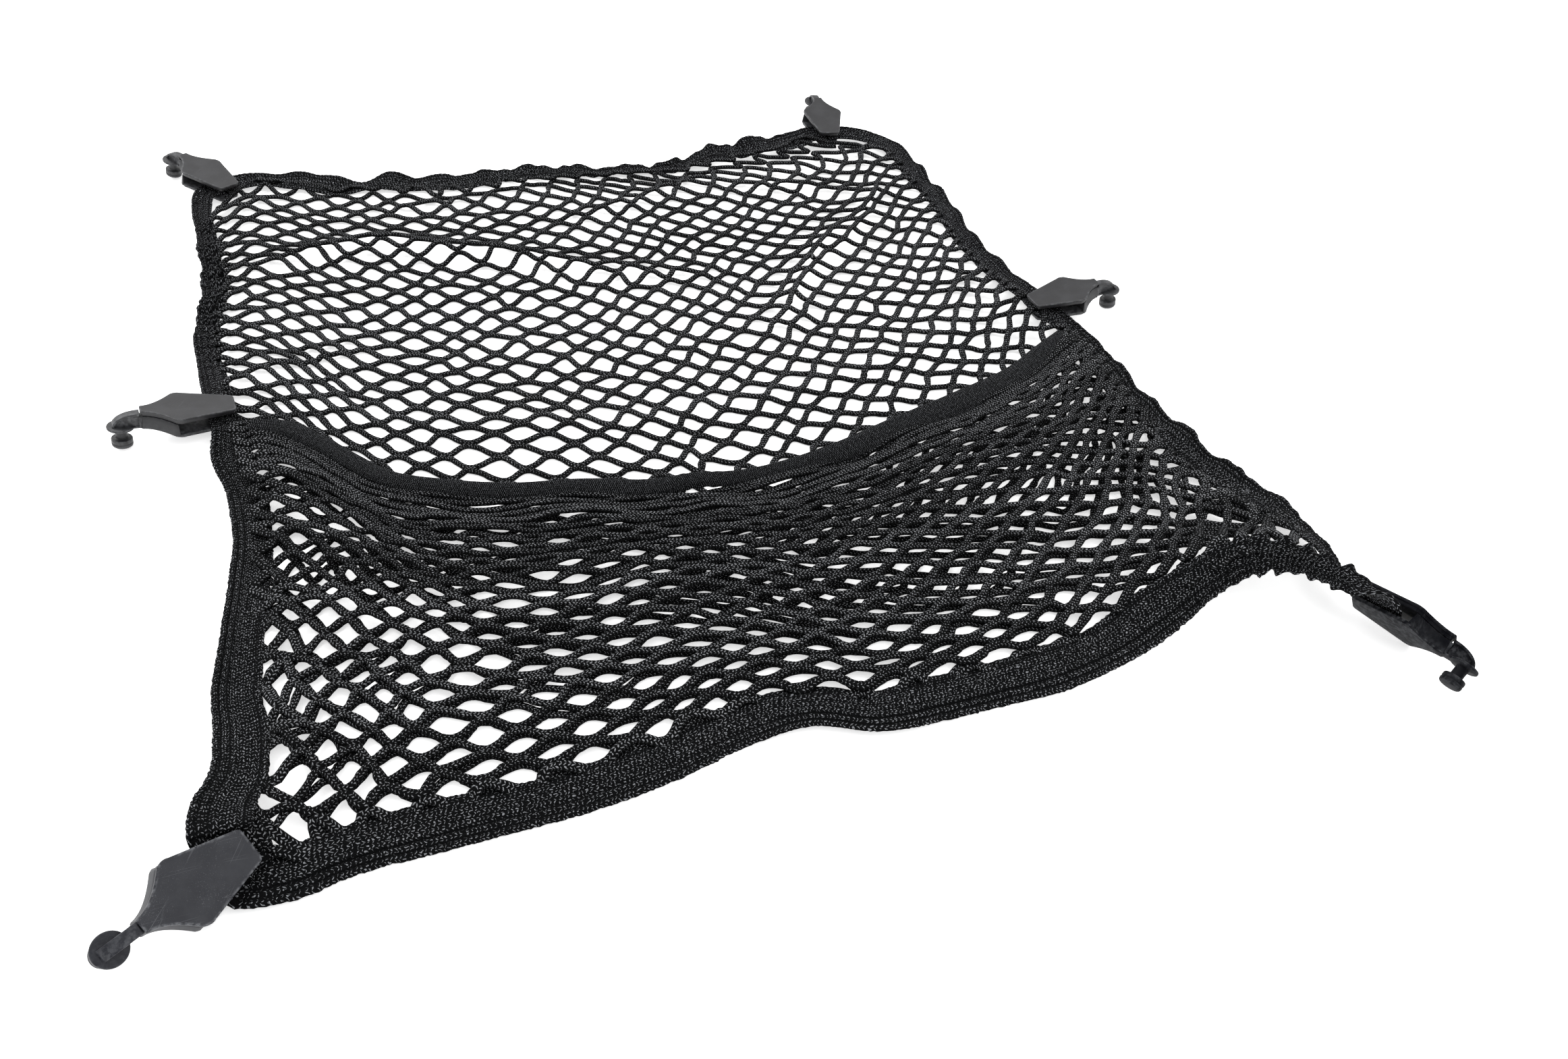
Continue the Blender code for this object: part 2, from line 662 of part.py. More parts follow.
def upright_slab(name, outline, width):
    """Make a slab whose outline stands in the clip's X and Z directions, centred on its middle."""
    mesh = slab(name, outline, width / 2, -width / 2)
    mesh.transform(Matrix.Rotation(pi / 2, 4, "X"))
    return mesh


def united(name, meshes):
    """Join overlapping solid meshes into one body with exact Boolean unions."""
    cutters = new_collection(f"{name} cutters")
    base = bpy.data.objects.new(name, meshes[0])
    cutters.objects.link(base)
    tools = []
    for number, mesh in enumerate(meshes[1:]):
        tool = bpy.data.objects.new(f"{name} piece {number}", mesh)
        tool.hide_render = True
        tool.display_type = "WIRE"
        cutters.objects.link(tool)
        cut = base.modifiers.new(f"join {number}", "BOOLEAN")
        cut.operation = "UNION"
        cut.solver = "EXACT"
        cut.object = tool
        tools.append(tool)
    bpy.context.view_layer.update()
    joined = evaluated_mesh(base, name)
    for item in [base] + tools:
        bpy.data.objects.remove(item, do_unlink=True)
    bpy.data.collections.remove(cutters)
    return joined


def clip_lid_mesh():
    """Make the lid: a rim plate with the full outline over a step that is drawn in all round."""
    plate = slab("rim", clip_outline(0.0, CLIP_LENGTH), 0.0, -LID_RIM_HEIGHT)
    step = slab("step", clip_outline(LID_STEP_INSET, CLIP_LENGTH - LID_STEP_INSET),
                -LID_RIM_HEIGHT + JOIN_LAP, -LID_HEIGHT)
    return united("clip_lid", [plate, step])


def rectangle(x_low, x_high, half_width):
    """Return the outline of a rectangle that is centred on the clip's middle."""
    return np.array([(x_low, -half_width), (x_low, half_width), (x_high, half_width), (x_high, -half_width)])


def clip_body_mesh():
    """Make the lower moulding: floor plate, neck block and post, tongue, arch, web and stud."""
    floor = slab("floor", clip_outline(BODY_INSET, CLIP_LENGTH - BODY_INSET),
                 -CLIP_HEIGHT + FLOOR_PLATE_HEIGHT, -CLIP_HEIGHT)
    block = slab("block", neck_block_outline(), -LID_HEIGHT - LID_GAP, -CLIP_HEIGHT + BLOCK_FOOT)
    tongue = slab("tongue", rectangle(-STUD_REACH, TONGUE_START, TONGUE_HALF_WIDTH),
                  -DISC_TOP - LID_GAP, -DISC_TOP - DISC_HEIGHT + JOIN_LAP)
    post = slab("post", rectangle(POST_START, POST_END, POST_HALF_WIDTH),
                -LID_HEIGHT - 2 * LID_GAP, -CLIP_HEIGHT + 1.5 * BLOCK_FOOT)
    return united("clip_body", [floor, block, tongue, post, arch_strap_mesh(), arch_web_mesh(), stud_mesh()])


def clip_matrix(place, meshes):
    """Return the clip's place in millimetres, set down so that its lowest point touches the surface."""
    turn = Euler((radians(place.roll), radians(place.pitch), radians(place.heading)), "XYZ").to_matrix()
    lowest = min((turn @ vertex.co).z for mesh in meshes for vertex in mesh.vertices) / MM
    return Matrix.Translation((place.x, place.y, -lowest)) @ turn.to_4x4()


def main():
    """Build the whole net."""
    clear_scene()
    collection = new_collection("luggage_net")
    fabric = new_material("knitted_mesh", FABRIC)
    binding = new_material("knitted_tape", FABRIC)
    elastic = new_material("ribbed_elastic", BAND_FABRIC)
    lid_plastic = new_material("lid_plastic", LID_PLASTIC)
    body_plastic = new_material("body_plastic", BODY_PLASTIC)

    lid, body = clip_lid_mesh(), clip_body_mesh()
    frames = {place.name: clip_matrix(place, (lid, body)) for place in CLIPS}
    for place in CLIPS:
        for mesh, piece, material in ((lid, "lid", lid_plastic), (body, "body", body_plastic)):
            part = add_object(collection, f"clip_{place.name}_{piece}", mesh, material)
            frame = frames[place.name]
            part.location = (frame.translation - Vector(ORIGIN)) * MM
            part.rotation_euler = frame.to_euler("XYZ")

    tapes = {
        "left": tape_surface(LEFT_TAPE, frames, -1.0),
        "back": tape_surface(BACK_TAPE, frames, -1.0),
        "right": tape_surface(RIGHT_TAPE, frames, 1.0),
        "front": tape_surface(FRONT_TAPE, frames, 1.0),
    }
    for side, surface in tapes.items():
        sheet_part(collection, f"{side}_tape", surface, TAPE_THICKNESS, binding)
    band = band_surface()
    sheet_part(collection, "mouth_band", band, BAND_THICKNESS, elastic)
    seams, mouth = net_seams(tapes, band)
    edges = list(seams.values())
    near_plan = patch_plan(seams["front"], mouth, seams["left_near"], seams["right_near"])
    far_plan = patch_plan(mouth, seams["back"], seams["left_far"], seams["right_far"])
    main_net = main_net_surface(near_plan, far_plan, edges)
    sheet_part(collection, "main_net", main_net, NET_THICKNESS, fabric)
    sheet_part(collection, "pocket_net", pocket_surface(near_plan, edges, mouth), NET_THICKNESS, fabric)


main()
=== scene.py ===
"""Looks of the luggage net: cord mesh, pocket, elastic mouth, edge tapes, hook clips and a plain stage.

Everything is worked out in millimetres from the middle of the net, as the solids are, and is put into the
meshes in metres from the frame's own origin.  X runs along the front edge, Y to the back edge, Z is up.
"""

from collections import namedtuple
from math import cos, pi, radians, sin, tau

import bmesh
import bpy
import numpy as np
from bpy.props import FloatProperty, FloatVectorProperty, IntProperty, PointerProperty
from bpy.types import Operator, Panel, PropertyGroup
from mathutils import Euler, Matrix, Vector


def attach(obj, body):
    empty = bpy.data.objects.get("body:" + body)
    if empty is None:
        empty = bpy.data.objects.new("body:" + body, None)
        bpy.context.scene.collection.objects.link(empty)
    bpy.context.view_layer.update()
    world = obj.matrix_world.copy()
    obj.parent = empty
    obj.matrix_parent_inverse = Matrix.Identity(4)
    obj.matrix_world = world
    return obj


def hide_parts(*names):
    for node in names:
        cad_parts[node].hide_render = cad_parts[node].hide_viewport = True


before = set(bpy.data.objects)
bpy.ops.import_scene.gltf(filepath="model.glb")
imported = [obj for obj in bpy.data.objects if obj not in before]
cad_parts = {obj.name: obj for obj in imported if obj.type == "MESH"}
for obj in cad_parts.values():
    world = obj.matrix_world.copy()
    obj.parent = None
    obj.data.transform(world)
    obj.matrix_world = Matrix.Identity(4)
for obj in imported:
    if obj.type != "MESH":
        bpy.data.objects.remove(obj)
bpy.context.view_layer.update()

bl_info = {
    "name": "Luggage Net",
    "version": (1, 0, 0),
    "blender": (4, 5, 0),
    "location": "3D View > Sidebar > Luggage Net",
    "description": "Knitted cord net with a front pocket, edge tapes and hook clips",
    "category": "Add Mesh",
}

MM = 0.001
BODY = "root"
SEED = 11

# The frame's origin, from the middle of the net.
ORIGIN = np.array([3.0, 54.7, 0.0])

# Sizes that the solids share with this file.
TAPE_THICKNESS = 2.0
BAND_WIDTH = 13.0
NET_THICKNESS = 1.5
LAYER_RISE = 2.6
SEAM_GAP = 1.7
SEAM_DROP = 0.08
TAPE_WIDTH = 18.0
RUFFLE_LENGTH = 36.0
EDGE_REACH = 36.0
CORNER_REACH = 12.0
POCKET_HUMP = 7.0
MOUTH_RISE_POWER = 1.6
HUMP_POWER = 1.3
HUMP_RIPPLE = 0.25
CLIP_LENGTH = 50.0
CLIP_HALF_WIDTH = 16.0
CLIP_SHOULDER = 20.0
CLIP_HALF_NECK = 3.5
CLIP_HALF_FAR_END = 8.0
CLIP_HEIGHT = 12.0
LID_HEIGHT = 3.6
LID_GAP = 0.3
FLOOR_PLATE_HEIGHT = 2.0
BODY_INSET = 0.5
NECK_BLOCK_END = 18.5
CORNER_ROUND = 2.2
STUD_REACH = 10.5
DISC_TOP = 10.0
DISC_HEIGHT = 1.6
ARCH_TOP = 2.0
ARCH_END = 15.0
TAPE_DEPTH = CLIP_HEIGHT - FLOOR_PLATE_HEIGHT - LID_GAP - TAPE_THICKNESS / 2

# The nets' width, the main net's length under and behind the pocket's mouth, and the length that the
# offset of a joint behind the mouth is a share of.
NET_WIDTH = 540
LENGTH_UNDER = 200
LENGTH_BEHIND = 360
BEHIND_OFFSET_LENGTH = 370
# How far joints shift, in millimetres: each part by its own waves, and tufts beside the tapes, with the
# reach of the tufts as a share of the width.
OWN_SHIFT_UNDER = 1.5
OWN_SHIFT_BEHIND = 0.8
TUFT_SHIFT = 3.4
TUFT_REACH = 0.07
# How far the slow waves shift joints across and along, the share that the other shifts have along, and how
# far columns drift, as shares: everywhere, near the front up to a place along, and behind it.
SLOW_SHIFT_ACROSS = 3.0
SLOW_SHIFT_ALONG = 2.6
ALONG_SHARE = 0.8
DRIFT = 0.03
NEAR_DRIFT = (0.044, 0.012)
NEAR_UNTIL = 1.35
FAR_DRIFT = 0.011
# Where the lattice starts and ends, as shares: its columns across, and how far its rows run past a seam.
COLUMN_ENDS = (-0.016, 1.018)
PAST_FRONT = 0.035
PAST_BACK = 0.028
PAST_MOUTH = 0.030
# A strand ends under its tape at this share of the tape's width from the outer edge.
STRAND_END = 0.45
# How uneven strands are in height and width, and how much flatter they are where a tape presses them.
UNEVEN_HEIGHT = 0.075
UNEVEN_WIDTH = 0.03
PRESSED_FLAT = 0.45
# How far strands differ in height, climb onto a tape behind the mouth, and are pressed down under one.
STRAND_SPREAD = 0.25
TAPE_CLIMB = 2.0
PRESSED_DOWN = 0.7
POCKET_PRESSED_DOWN = LAYER_RISE + 0.6
# Where a tape starts to cover strands: how far on the net's side of its inner edge at the front and at the
# left, and over what distance.  Behind the mouth, the length over which strands climb at a seam, and how far
# past it they are down again, and over what length.
COVER_FRONT = 1.4
COVER_LEFT = 3
COVER_LENGTH = 4
CLIMB_LENGTH = 4
DOWN_AT = 9.5
DOWN_LENGTH = 3
# How near the front and the sides strands bunch, as shares, and the bunch in the front right corner: its
# strength and its two reaches.
BUNCH_FRONT = 0.07
BUNCH_SIDES = 0.025
CORNER_BUNCH = (0.6, 0.14, 0.22)
# The pocket's rows crowd towards its mouth, by a share and a power.  Its joints lie apart from the main
# net's by waves that reach their full height at this share of the way from the front seam.
ROW_CROWDING = 0.5
CROWDING_POWER = 1.6
POCKET_SHIFT = 2.6
SEWN_REACH = 0.15
# Under the elastic strands pile up: where along that starts and over what length, the share that is left
# at the sides, the pile's middle and reach across, every second strand's step, and the waves' height and
# spacing.  Strands are narrower there, and wider where they bunch beside the tapes.
PILE_START = 0.62
PILE_LENGTH = 0.3
PILE_AT_SIDES = 0.35
PILE_MIDDLE = 0.42
PILE_REACH = 0.36
PILE_STEP = 1.8
PILE_WAVE = 2.6
PILE_SPACING = 16
PILE_NARROWER = 0.16
BUNCH_WIDER = 0.5
# Each net's flat size, in metres, and the share of it that is cloth.
MAIN_FRONT_FLAT = (0.55, 0.22)
MAIN_BACK_FLAT = (0.54, 0.38)
# How strongly folds draw strands to their ridges, and over what share of a fold's half width.
FOLD_PULL = 0.7
PULL_REACH = 0.8

# How finely the cloth is worked out: columns and rows of the surfaces that the cords lie on, the steps
# along the tapes' and the elastic's routes, the points over a ribbon's top, and a cord's sides and its
# steps from one joint to the next.
SURFACE_ACROSS = 79
SURFACE_NEAR = 43
SURFACE_FAR = 49
SEAM_STEP = 4.0
TAPE_STEP = 1.2
BAND_STEP = 1.4
TAPE_POINTS = 41
BAND_POINTS = 33
CORD_SIDES = 8
STEPS_UNDER = 8
STEPS_ABOVE = 7

# Smooth unevenness: how many waves, and the shortest and longest of them.
WaveRange = namedtuple("WaveRange", "count shortest longest")
SLOW_WAVES = WaveRange(8, 60, 220)
SHORT_WAVES = WaveRange(8, 24, 70)
TUFT_WAVES = WaveRange(5, 24, 46)
POCKET_WAVES = WaveRange(6, 80, 240)
PILE_WAVES = WaveRange(8, 36, 120)
BEND_WAVES = WaveRange(5, 20, 60)
PUCKER_WAVES = WaveRange(5, 18, 50)
SWELL_WAVES = WaveRange(7, 32, 90)
FRILL_WAVES = WaveRange(5, 25, 70)
EDGE_WAVES = WaveRange(5, 30, 80)
GATHER_WAVES = WaveRange(5, 24, 80)
SWAY_WAVES = WaveRange(4, 50, 140)

# The lowest that anything lies over the floor.
FLOOR_CLEARANCE = 0.02

# Each clip: the tip of its neck on the plan, the way that it points, and how far it leans.
ClipPlace = namedtuple("ClipPlace", "name x y heading pitch roll")
CLIPS = (
    ClipPlace("front_left", -296.9, -239.2, 35.7, 8.2, 37.9),
    ClipPlace("middle_left", -294.5, 96.5, 4.8, 11.5, -4.5),
    ClipPlace("back_left", -261.9, 407.8, -53.8, 11.7, -6.8),
    ClipPlace("back_right", 233.2, 366.5, -99.8, 8.6, -3.7),
    ClipPlace("middle_right", 307.2, 46.0, -179.6, 6.9, 2.2),
    ClipPlace("front_right", 304.9, -293.5, 107.8, 3.6, 56.5),
)

# A tape's middle line, as points on the surface (Lying) and points in a clip (Held).
Lying = namedtuple("Lying", "x y z lean ruffle")
Held = namedtuple("Held", "clip along aside width lift turn", defaults=(0.0, 0.0))
LEFT_TAPE = (
    Held("front_left", 36, 0.6, 15),
    Held("front_left", 36, 7, 15, 0.6),
    Held("front_left", 36, 13, 15, 2.4),
    Lying(-275, -190, 19, 12, 0),
    Lying(-268, -168, 12, 10, 0),
    Lying(-263, -142, 5, 5, 0),
    Lying(-263, -118, 1.6, 1, 0),
    Lying(-260, -94, 1, 0, 0),
    Lying(-252, -44, 1, 0, 0),
    Lying(-247, -8, 1, 0, 0),
    Lying(-248, 36, 1.6, 0, 0),
    Lying(-255, 62, 4.4, 4, 0),
    Held("middle_left", 42, -14, 15, 0.3),
    Held("middle_left", 42, 0, 15, 0.3),
    Held("middle_left", 42, 14, 15, 0.3),
    Lying(-256, 136, 3.4, 2, 1),
    Lying(-258, 166, 1.2, 0, 3),
    Lying(-257, 203, 1, 0, 4),
    Lying(-251, 240, 1, 0, 3),
    Lying(-251, 286, 1, 0, 4),
    Lying(-253, 326, 1.8, 0, 2),
    Lying(-254, 350, 4.6, 3, 0),
    Held("back_left", 38, -10, 15, 0.5),
    Held("back_left", 38, -0.6, 14),
)
BACK_TAPE = (
    Held("back_left", 38, 0.6, 14),
    Held("back_left", 38, 10, 15, 0.5),
    Lying(-214, 387, 4.2, 0, 1),
    Lying(-190, 380, 2.2, 0, 4),
    Lying(-163, 367, 1.5, 0, 4),
    Lying(-131, 356, 1, 0, 3),
    Lying(-96, 347, 1, 0, 4),
    Lying(-62, 341, 1, 0, 3),
    Lying(-25, 340, 1.2, 0, 4),
    Lying(34, 331, 1, 0, 3),
    Lying(95, 321, 1.6, 0, 5),
    Lying(134, 322, 4, 0, 6),
    Lying(168, 321, 7, 4, 5),
    Lying(194, 325, 8, 4, 2),
    Held("back_right", 38, -11, 15, 0.5),
    Held("back_right", 38, -0.6, 14),
)
RIGHT_TAPE = (
    Held("front_right", 40, -3.5, 12, 0.4, 90),
    Held("front_right", 51, -3.5, 12, 1.6, 90),
    Lying(287, -222, 15, -38, 0),
    Lying(292, -196, 10, -24, 1),
    Lying(294, -168, 5, -10, 2),
    Lying(287, -135, 1.8, 0, 3),
    Lying(280, -90, 1, 0, 4),
    Lying(279, -33, 1, 0, 4),
    Lying(279, -10, 2, 0, 2),
    Lying(275, 10, 5.4, 0, 0),
    Held("middle_right", 40, 16, 15, 0.6),
    Held("middle_right", 41.5, 0, 15, 0.3),
    Held("middle_right", 42, -15, 15, 0.5),
    Lying(263, 84, 5.4, 0, 1),
    Lying(263, 112, 1.6, 0, 3),
    Lying(263, 156, 1, 0, 4),
    Lying(269, 206, 1, 0, 4),
    Lying(271, 254, 1, 0, 5),
    Lying(273, 284, 1.6, 0, 3),
    Lying(266, 308, 4.4, 0, 1),
    Held("back_right", 38, 11, 15, 0.5),
    Held("back_right", 38, 0.6, 14),
)
FRONT_TAPE = (
    Held("front_left", 36, -0.6, 15),
    Held("front_left", 36, -7, 15, 0.7),
    Held("front_left", 36, -12.5, 15, 2.4),
    Lying(-248, -226, 2.0, 2, 0),
    Lying(-226, -222, 1, 0, 0),
    Lying(-186, -221, 1, 0, 0),
    Lying(-138, -224, 1, 0, 0),
    Lying(-87, -222, 1, 0, 0),
    Lying(-40, -214, 1, 0, 0),
    Lying(-8, -217, 2.6, 6, 0),
    Lying(20, -229, 3.0, 8, 0),
    Lying(50, -232, 1.4, 0, 0),
    Lying(80, -234, 1, 0, 0),
    Lying(118, -236, 1, 0, 0),
    Lying(158, -231, 1.6, 0, 0),
    Lying(188, -224, 6, -16, 0),
    Lying(212, -218, 14, -34, 0),
    Lying(236, -216, 22, -40, 1),
    Lying(256, -224, 28, -32, 1),
    Lying(269, -240, 31, -14, 0),
    Held("front_right", 36, 14, 15, 1.4),
    Held("front_right", 36, 5.6, 15, 0.2),
)
# Each tape by side: its stations and the sign of its outer side.
TAPES = {
    "left": (LEFT_TAPE, -1.0),
    "back": (BACK_TAPE, -1.0),
    "right": (RIGHT_TAPE, 1.0),
    "front": (FRONT_TAPE, 1.0),
}

# How each tape lies, in millimetres: a place along X (back, front) or Y (left, right), and there its width,
# how far its outer edge lies in from the solid's, how high it puckers, and how high its slow lumps are.
TapeRow = namedtuple("TapeRow", "place width drawn_in pucker swell")
TAPE_LAY = {
    "left": (
        TapeRow(-215, 26, 3, 0.1, 0.3),
        TapeRow(-190, 26, 5, 0.1, 0.3),
        TapeRow(-168, 25, 5, 0.1, 0.3),
        TapeRow(-146, 24, 1, 0.1, 0.3),
        TapeRow(-118, 23, 0, 0.1, 0.3),
        TapeRow(-80, 22, 0, 0.1, 0.4),
        TapeRow(-20, 21, 0, 0.1, 0.4),
        TapeRow(40, 19, -1, 0.1, 0.5),
        TapeRow(64, 18, 2, 0.1, 0.5),
        TapeRow(100, 16, 0, 0.2, 0.8),
        TapeRow(136, 15, 0, 0.3, 1.0),
        TapeRow(170, 14, 0, 0.8, 1.5),
        TapeRow(240, 16, -0.5, 2.6, 1.5),
        TapeRow(286, 15, -1, 2.0, 1.5),
        TapeRow(330, 13, 1, 0.9, 1.4),
        TapeRow(380, 15, 0, 0.2, 0.6),
    ),
    "back": (
        TapeRow(-235, 17, 0, 0.05, 1.0),
        TapeRow(-205, 20, -2, 0.05, 1.8),
        TapeRow(-165, 19, 4, 0.05, 2.0),
        TapeRow(-131, 20, -4, 0.05, 2.0),
        TapeRow(-96, 21, -4, 0.1, 1.8),
        TapeRow(-62, 17, -2, 0.3, 1.2),
        TapeRow(-25, 14, -3, 0.4, 1.2),
        TapeRow(30, 11, 5, 0.5, 1.2),
        TapeRow(95, 11, 5, 0.6, 1.4),
        TapeRow(130, 14, -4, 0.6, 1.8),
        TapeRow(165, 20, -3, 0.5, 1.7),
        TapeRow(190, 22, 0, 0.5, 1.6),
        TapeRow(215, 18, 0, 0.2, 0.6),
    ),
    "right": (
        TapeRow(-240, 18, 0, 0.5, 0.8),
        TapeRow(-222, 21, -2, 0.4, 1.0),
        TapeRow(-196, 23, -2, 0.3, 1.2),
        TapeRow(-168, 24, -1, 0.3, 1.2),
        TapeRow(-135, 22, 0, 0.3, 1.1),
        TapeRow(-90, 22, 1, 0.3, 1.0),
        TapeRow(-33, 21, 1, 0.2, 1.0),
        TapeRow(-5, 20, 1, 0.2, 1.0),
        TapeRow(20, 18, -2, 0.1, 0.8),
        TapeRow(84, 18, -2, 0.05, 0.6),
        TapeRow(112, 18, -2, 0.03, 0.6),
        TapeRow(156, 17, -1, 0.03, 0.6),
        TapeRow(206, 16, -1, 0.03, 0.6),
        TapeRow(250, 16, 0, 0.03, 0.6),
        TapeRow(290, 17, 0, 0.1, 0.7),
        TapeRow(320, 17, -1, 0.1, 0.7),
    ),
    "front": (
        TapeRow(-262, 28, 1, 0.05, 0.3),
        TapeRow(-230, 27, -0.5, 0.05, 0.3),
        TapeRow(-186, 26, -1.5, 0.05, 0.3),
        TapeRow(-150, 25, -1, 0.05, 0.3),
        TapeRow(-115, 25, -1, 0.05, 0.3),
        TapeRow(-75, 25, -1, 0.05, 0.3),
        TapeRow(-45, 25, -1, 0.05, 0.4),
        TapeRow(-8, 26, 0, 0.05, 0.4),
        TapeRow(20, 27, -2, 0.05, 0.5),
        TapeRow(45, 27, -1, 0.05, 0.5),
        TapeRow(118, 28, 0.5, 0.05, 0.4),
        TapeRow(150, 28, 1, 0.05, 0.4),
        TapeRow(180, 28, 2, 0.1, 0.4),
        TapeRow(205, 26, 1.5, 0.2, 0.6),
        TapeRow(232, 22, 1.5, 0.4, 0.8),
        TapeRow(250, 19, 0, 1.8, 1.0),
        TapeRow(270, 17, -4, 2.6, 0.8),
    ),
}
# How long a pucker of each tape is, and how deep the frill of its edges is, as a share of its half width.
PUCKER_LENGTH = {"left": 9.0, "back": 15.0, "right": 13.0, "front": 10.0}
FRILL_DEPTH = {"left": 0.03, "back": 0.13, "right": 0.13, "front": 0.13}
# How many steps on each side a width is evened over.
EVENED_STEPS = 9
# Raised and sunk lines along a tape, by their distance from its outer edge: the beads of its edge, two
# furrows that are sewn in, and the fold beside them.
TapeLine = namedtuple("TapeLine", "height place width")
TAPE_BEADS = TapeLine(0.55, 1.7, 1.2)
TAPE_LINES = (TapeLine(-0.6, 3.9, 0.6), TapeLine(-0.75, 8.2, 0.7), TapeLine(0.4, 9.8, 1.1))
# A tape's beads, wales and loose yarn, how far waves bend its puckers, how its edge swells and frays, and
# half of the width that its stitches are laid out on.
BEAD_LENGTH = 3.4
WALE_HEIGHT = 0.24
TAPE_FUZZ = 0.07
PUCKER_BEND = 1.3
EDGE_SWELL = 0.10
EDGE_FRAY = 0.016
TAPE_HALF_SECTION = 10.0
# Where the lines of sewing and folding run along a tape, in metres of its own places across.
SEWN_LINES = (0.0030, 0.0137, 0.0170)
# How wide the elastic lies: places along X, and widths.  Then where it is drawn together and stands up.
BAND_LAY = ((-236, -200, -150, -90, -50, -14, 15, 65, 110, 200, 258),
            (11, 10, 10, 11, 12, 9, 9, 12, 16, 17, 12))
BAND_BUMP = (-14, 17)
# How high it rises there, bows up, rolls over at its sewn edge and sways, its ribs and loose yarn, and how
# long its gathers are.
BUMP_RISE = 3.2
BAND_BOW = 1.7
BAND_ROLL = 0.9
BAND_SWAY = 1.2
RIB_HEIGHT = 0.2
BAND_FUZZ = 0.03
BAND_GATHER_LENGTH = 6.5
# Cloth lies smooth near the clips: the distance over which puckers, the frill and the elastic's sway grow
# to their full height, in millimetres, and how far in from the end that starts, as a share of it.
PUCKER_ENDS = (40, 0.6)
FRILL_ENDS = (12, 1)
BAND_ENDS = (26, 0)

# The elastic along the pocket's mouth, by its back edge, and how many degrees it leans.
BandRow = namedtuple("BandRow", "x y z lean")
MOUTH_BAND = (
    BandRow(-236, 79, 13.0, 4),
    BandRow(-220, 72, 13.0, 12),
    BandRow(-200, 50, 13.5, 24),
    BandRow(-186, 28, 15.0, 30),
    BandRow(-168, 4, 16.0, 34),
    BandRow(-142, -12, 16.5, 34),
    BandRow(-110, -25, 16.0, 32),
    BandRow(-70, -34, 15.5, 30),
    BandRow(-28, -48, 15.0, 30),
    BandRow(20, -55, 15.5, 32),
    BandRow(66, -51, 16.0, 34),
    BandRow(118, -39, 16.5, 34),
    BandRow(163, -28, 16.0, 32),
    BandRow(207, -14, 14.5, 26),
    BandRow(237, 2, 13.5, 14),
    BandRow(257.6, 12, 13.5, 4),
)

# The corners of both nets.
CORNERS = {
    "front_left": (-257, -205, 8.0),
    "front_right": (268, -211, 24.0),
    "back_left": (-233.1, 366.7, 3.2),
    "back_right": (223.9, 316.2, 5.3),
}

# Soft folds behind the pocket: the ridge's middle, the way that it runs, and its size.
Fold = namedtuple("Fold", "x y heading half_length half_width height")
FOLDS = (
    Fold(-190, 274, -2, 62, 13, 8.0),
    Fold(-88, 243, -28, 66, 12, 9.0),
    Fold(10, 190, -26, 60, 12, 5.0),
    Fold(-60, 322, 4, 90, 9, 6.0),
    Fold(135, 145, 52, 70, 15, 8.0),
    Fold(205, 205, 50, 60, 14, 7.0),
    Fold(178, 262, -20, 55, 12, 5.0),
    Fold(-205, 150, 10, 40, 12, 3.5),
    Fold(60, 285, 18, 70, 11, 5.0),
)

# The camera: where it stands, in metres, the way that it looks on the plan, its slope, its turn and lens.
CAMERA_PLACE = (-0.1713, -0.5922, 0.4616)
CAMERA_HEADING = (0.3987, 0.9171, 0.0)
CAMERA_SLOPE = 43.596
CAMERA_TURN = 3.207
CAMERA_LENS = 27.883
SENSOR_WIDTH = 36.0


# ---------------------------------------------------------------- settings

class MeshSettings(PropertyGroup):
    """Sizes of the cord mesh, for both nets."""

    cord_width: FloatProperty(
        name="Cord Width", description="Width of one knitted cord", default=0.0041,
        min=0.001, max=0.008, unit="LENGTH", precision=4)
    pocket_width: FloatProperty(
        name="Pocket Cord Width", description="Width of one cord of the pocket, which is less stretched",
        default=0.0043, min=0.001, max=0.008, unit="LENGTH", precision=4)
    cord_height: FloatProperty(
        name="Cord Height", description="Height of one knitted cord, which the lay presses flat",
        default=0.0029, min=0.001, max=0.008, unit="LENGTH", precision=4)
    joint_offset: FloatProperty(
        name="Joint Offset", description="How far each of two cords lies from the middle of their joint",
        default=0.0011, min=0.0, max=0.003, unit="LENGTH", precision=4)
    diamonds_across: IntProperty(
        name="Diamonds Across", description="Diamonds from the left tape to the right tape",
        default=22, min=4, max=60)
    rows_under: IntProperty(
        name="Rows under the Pocket", description="Diamond rows of the main net below the pocket's mouth",
        default=12, min=2, max=40)
    rows_behind: IntProperty(
        name="Rows behind the Pocket", description="Diamond rows of the main net behind the mouth",
        default=19, min=2, max=60)
    rows_pocket: IntProperty(
        name="Pocket Rows", description="Diamond rows of the pocket's own net",
        default=18, min=2, max=40)
    straightness: FloatProperty(
        name="Straightness", description="0 for cords that leave a joint along the row, 1 for straight bars",
        default=0.22, min=0.0, max=1.0, subtype="FACTOR")
    unevenness: FloatProperty(
        name="Unevenness", description="How far joints lie from an even lattice",
        default=0.0014, min=0.0, max=0.005, unit="LENGTH", precision=4)
    colour: FloatVectorProperty(
        name="Cord Colour", description="Yarn colour of the nets", subtype="COLOR", size=3,
        default=(0.0020, 0.0021, 0.0024), min=0.0, max=1.0)
    # Painted highlight: the colour mixed into the cords' yarn colour where a stitch catches the light.
    painted_highlight: FloatVectorProperty(
        name="Painted Highlight Colour", description="Colour where a stitch catches the light", subtype="COLOR", size=3,
        default=(0.250, 0.257, 0.270), min=0.0, max=1.0)


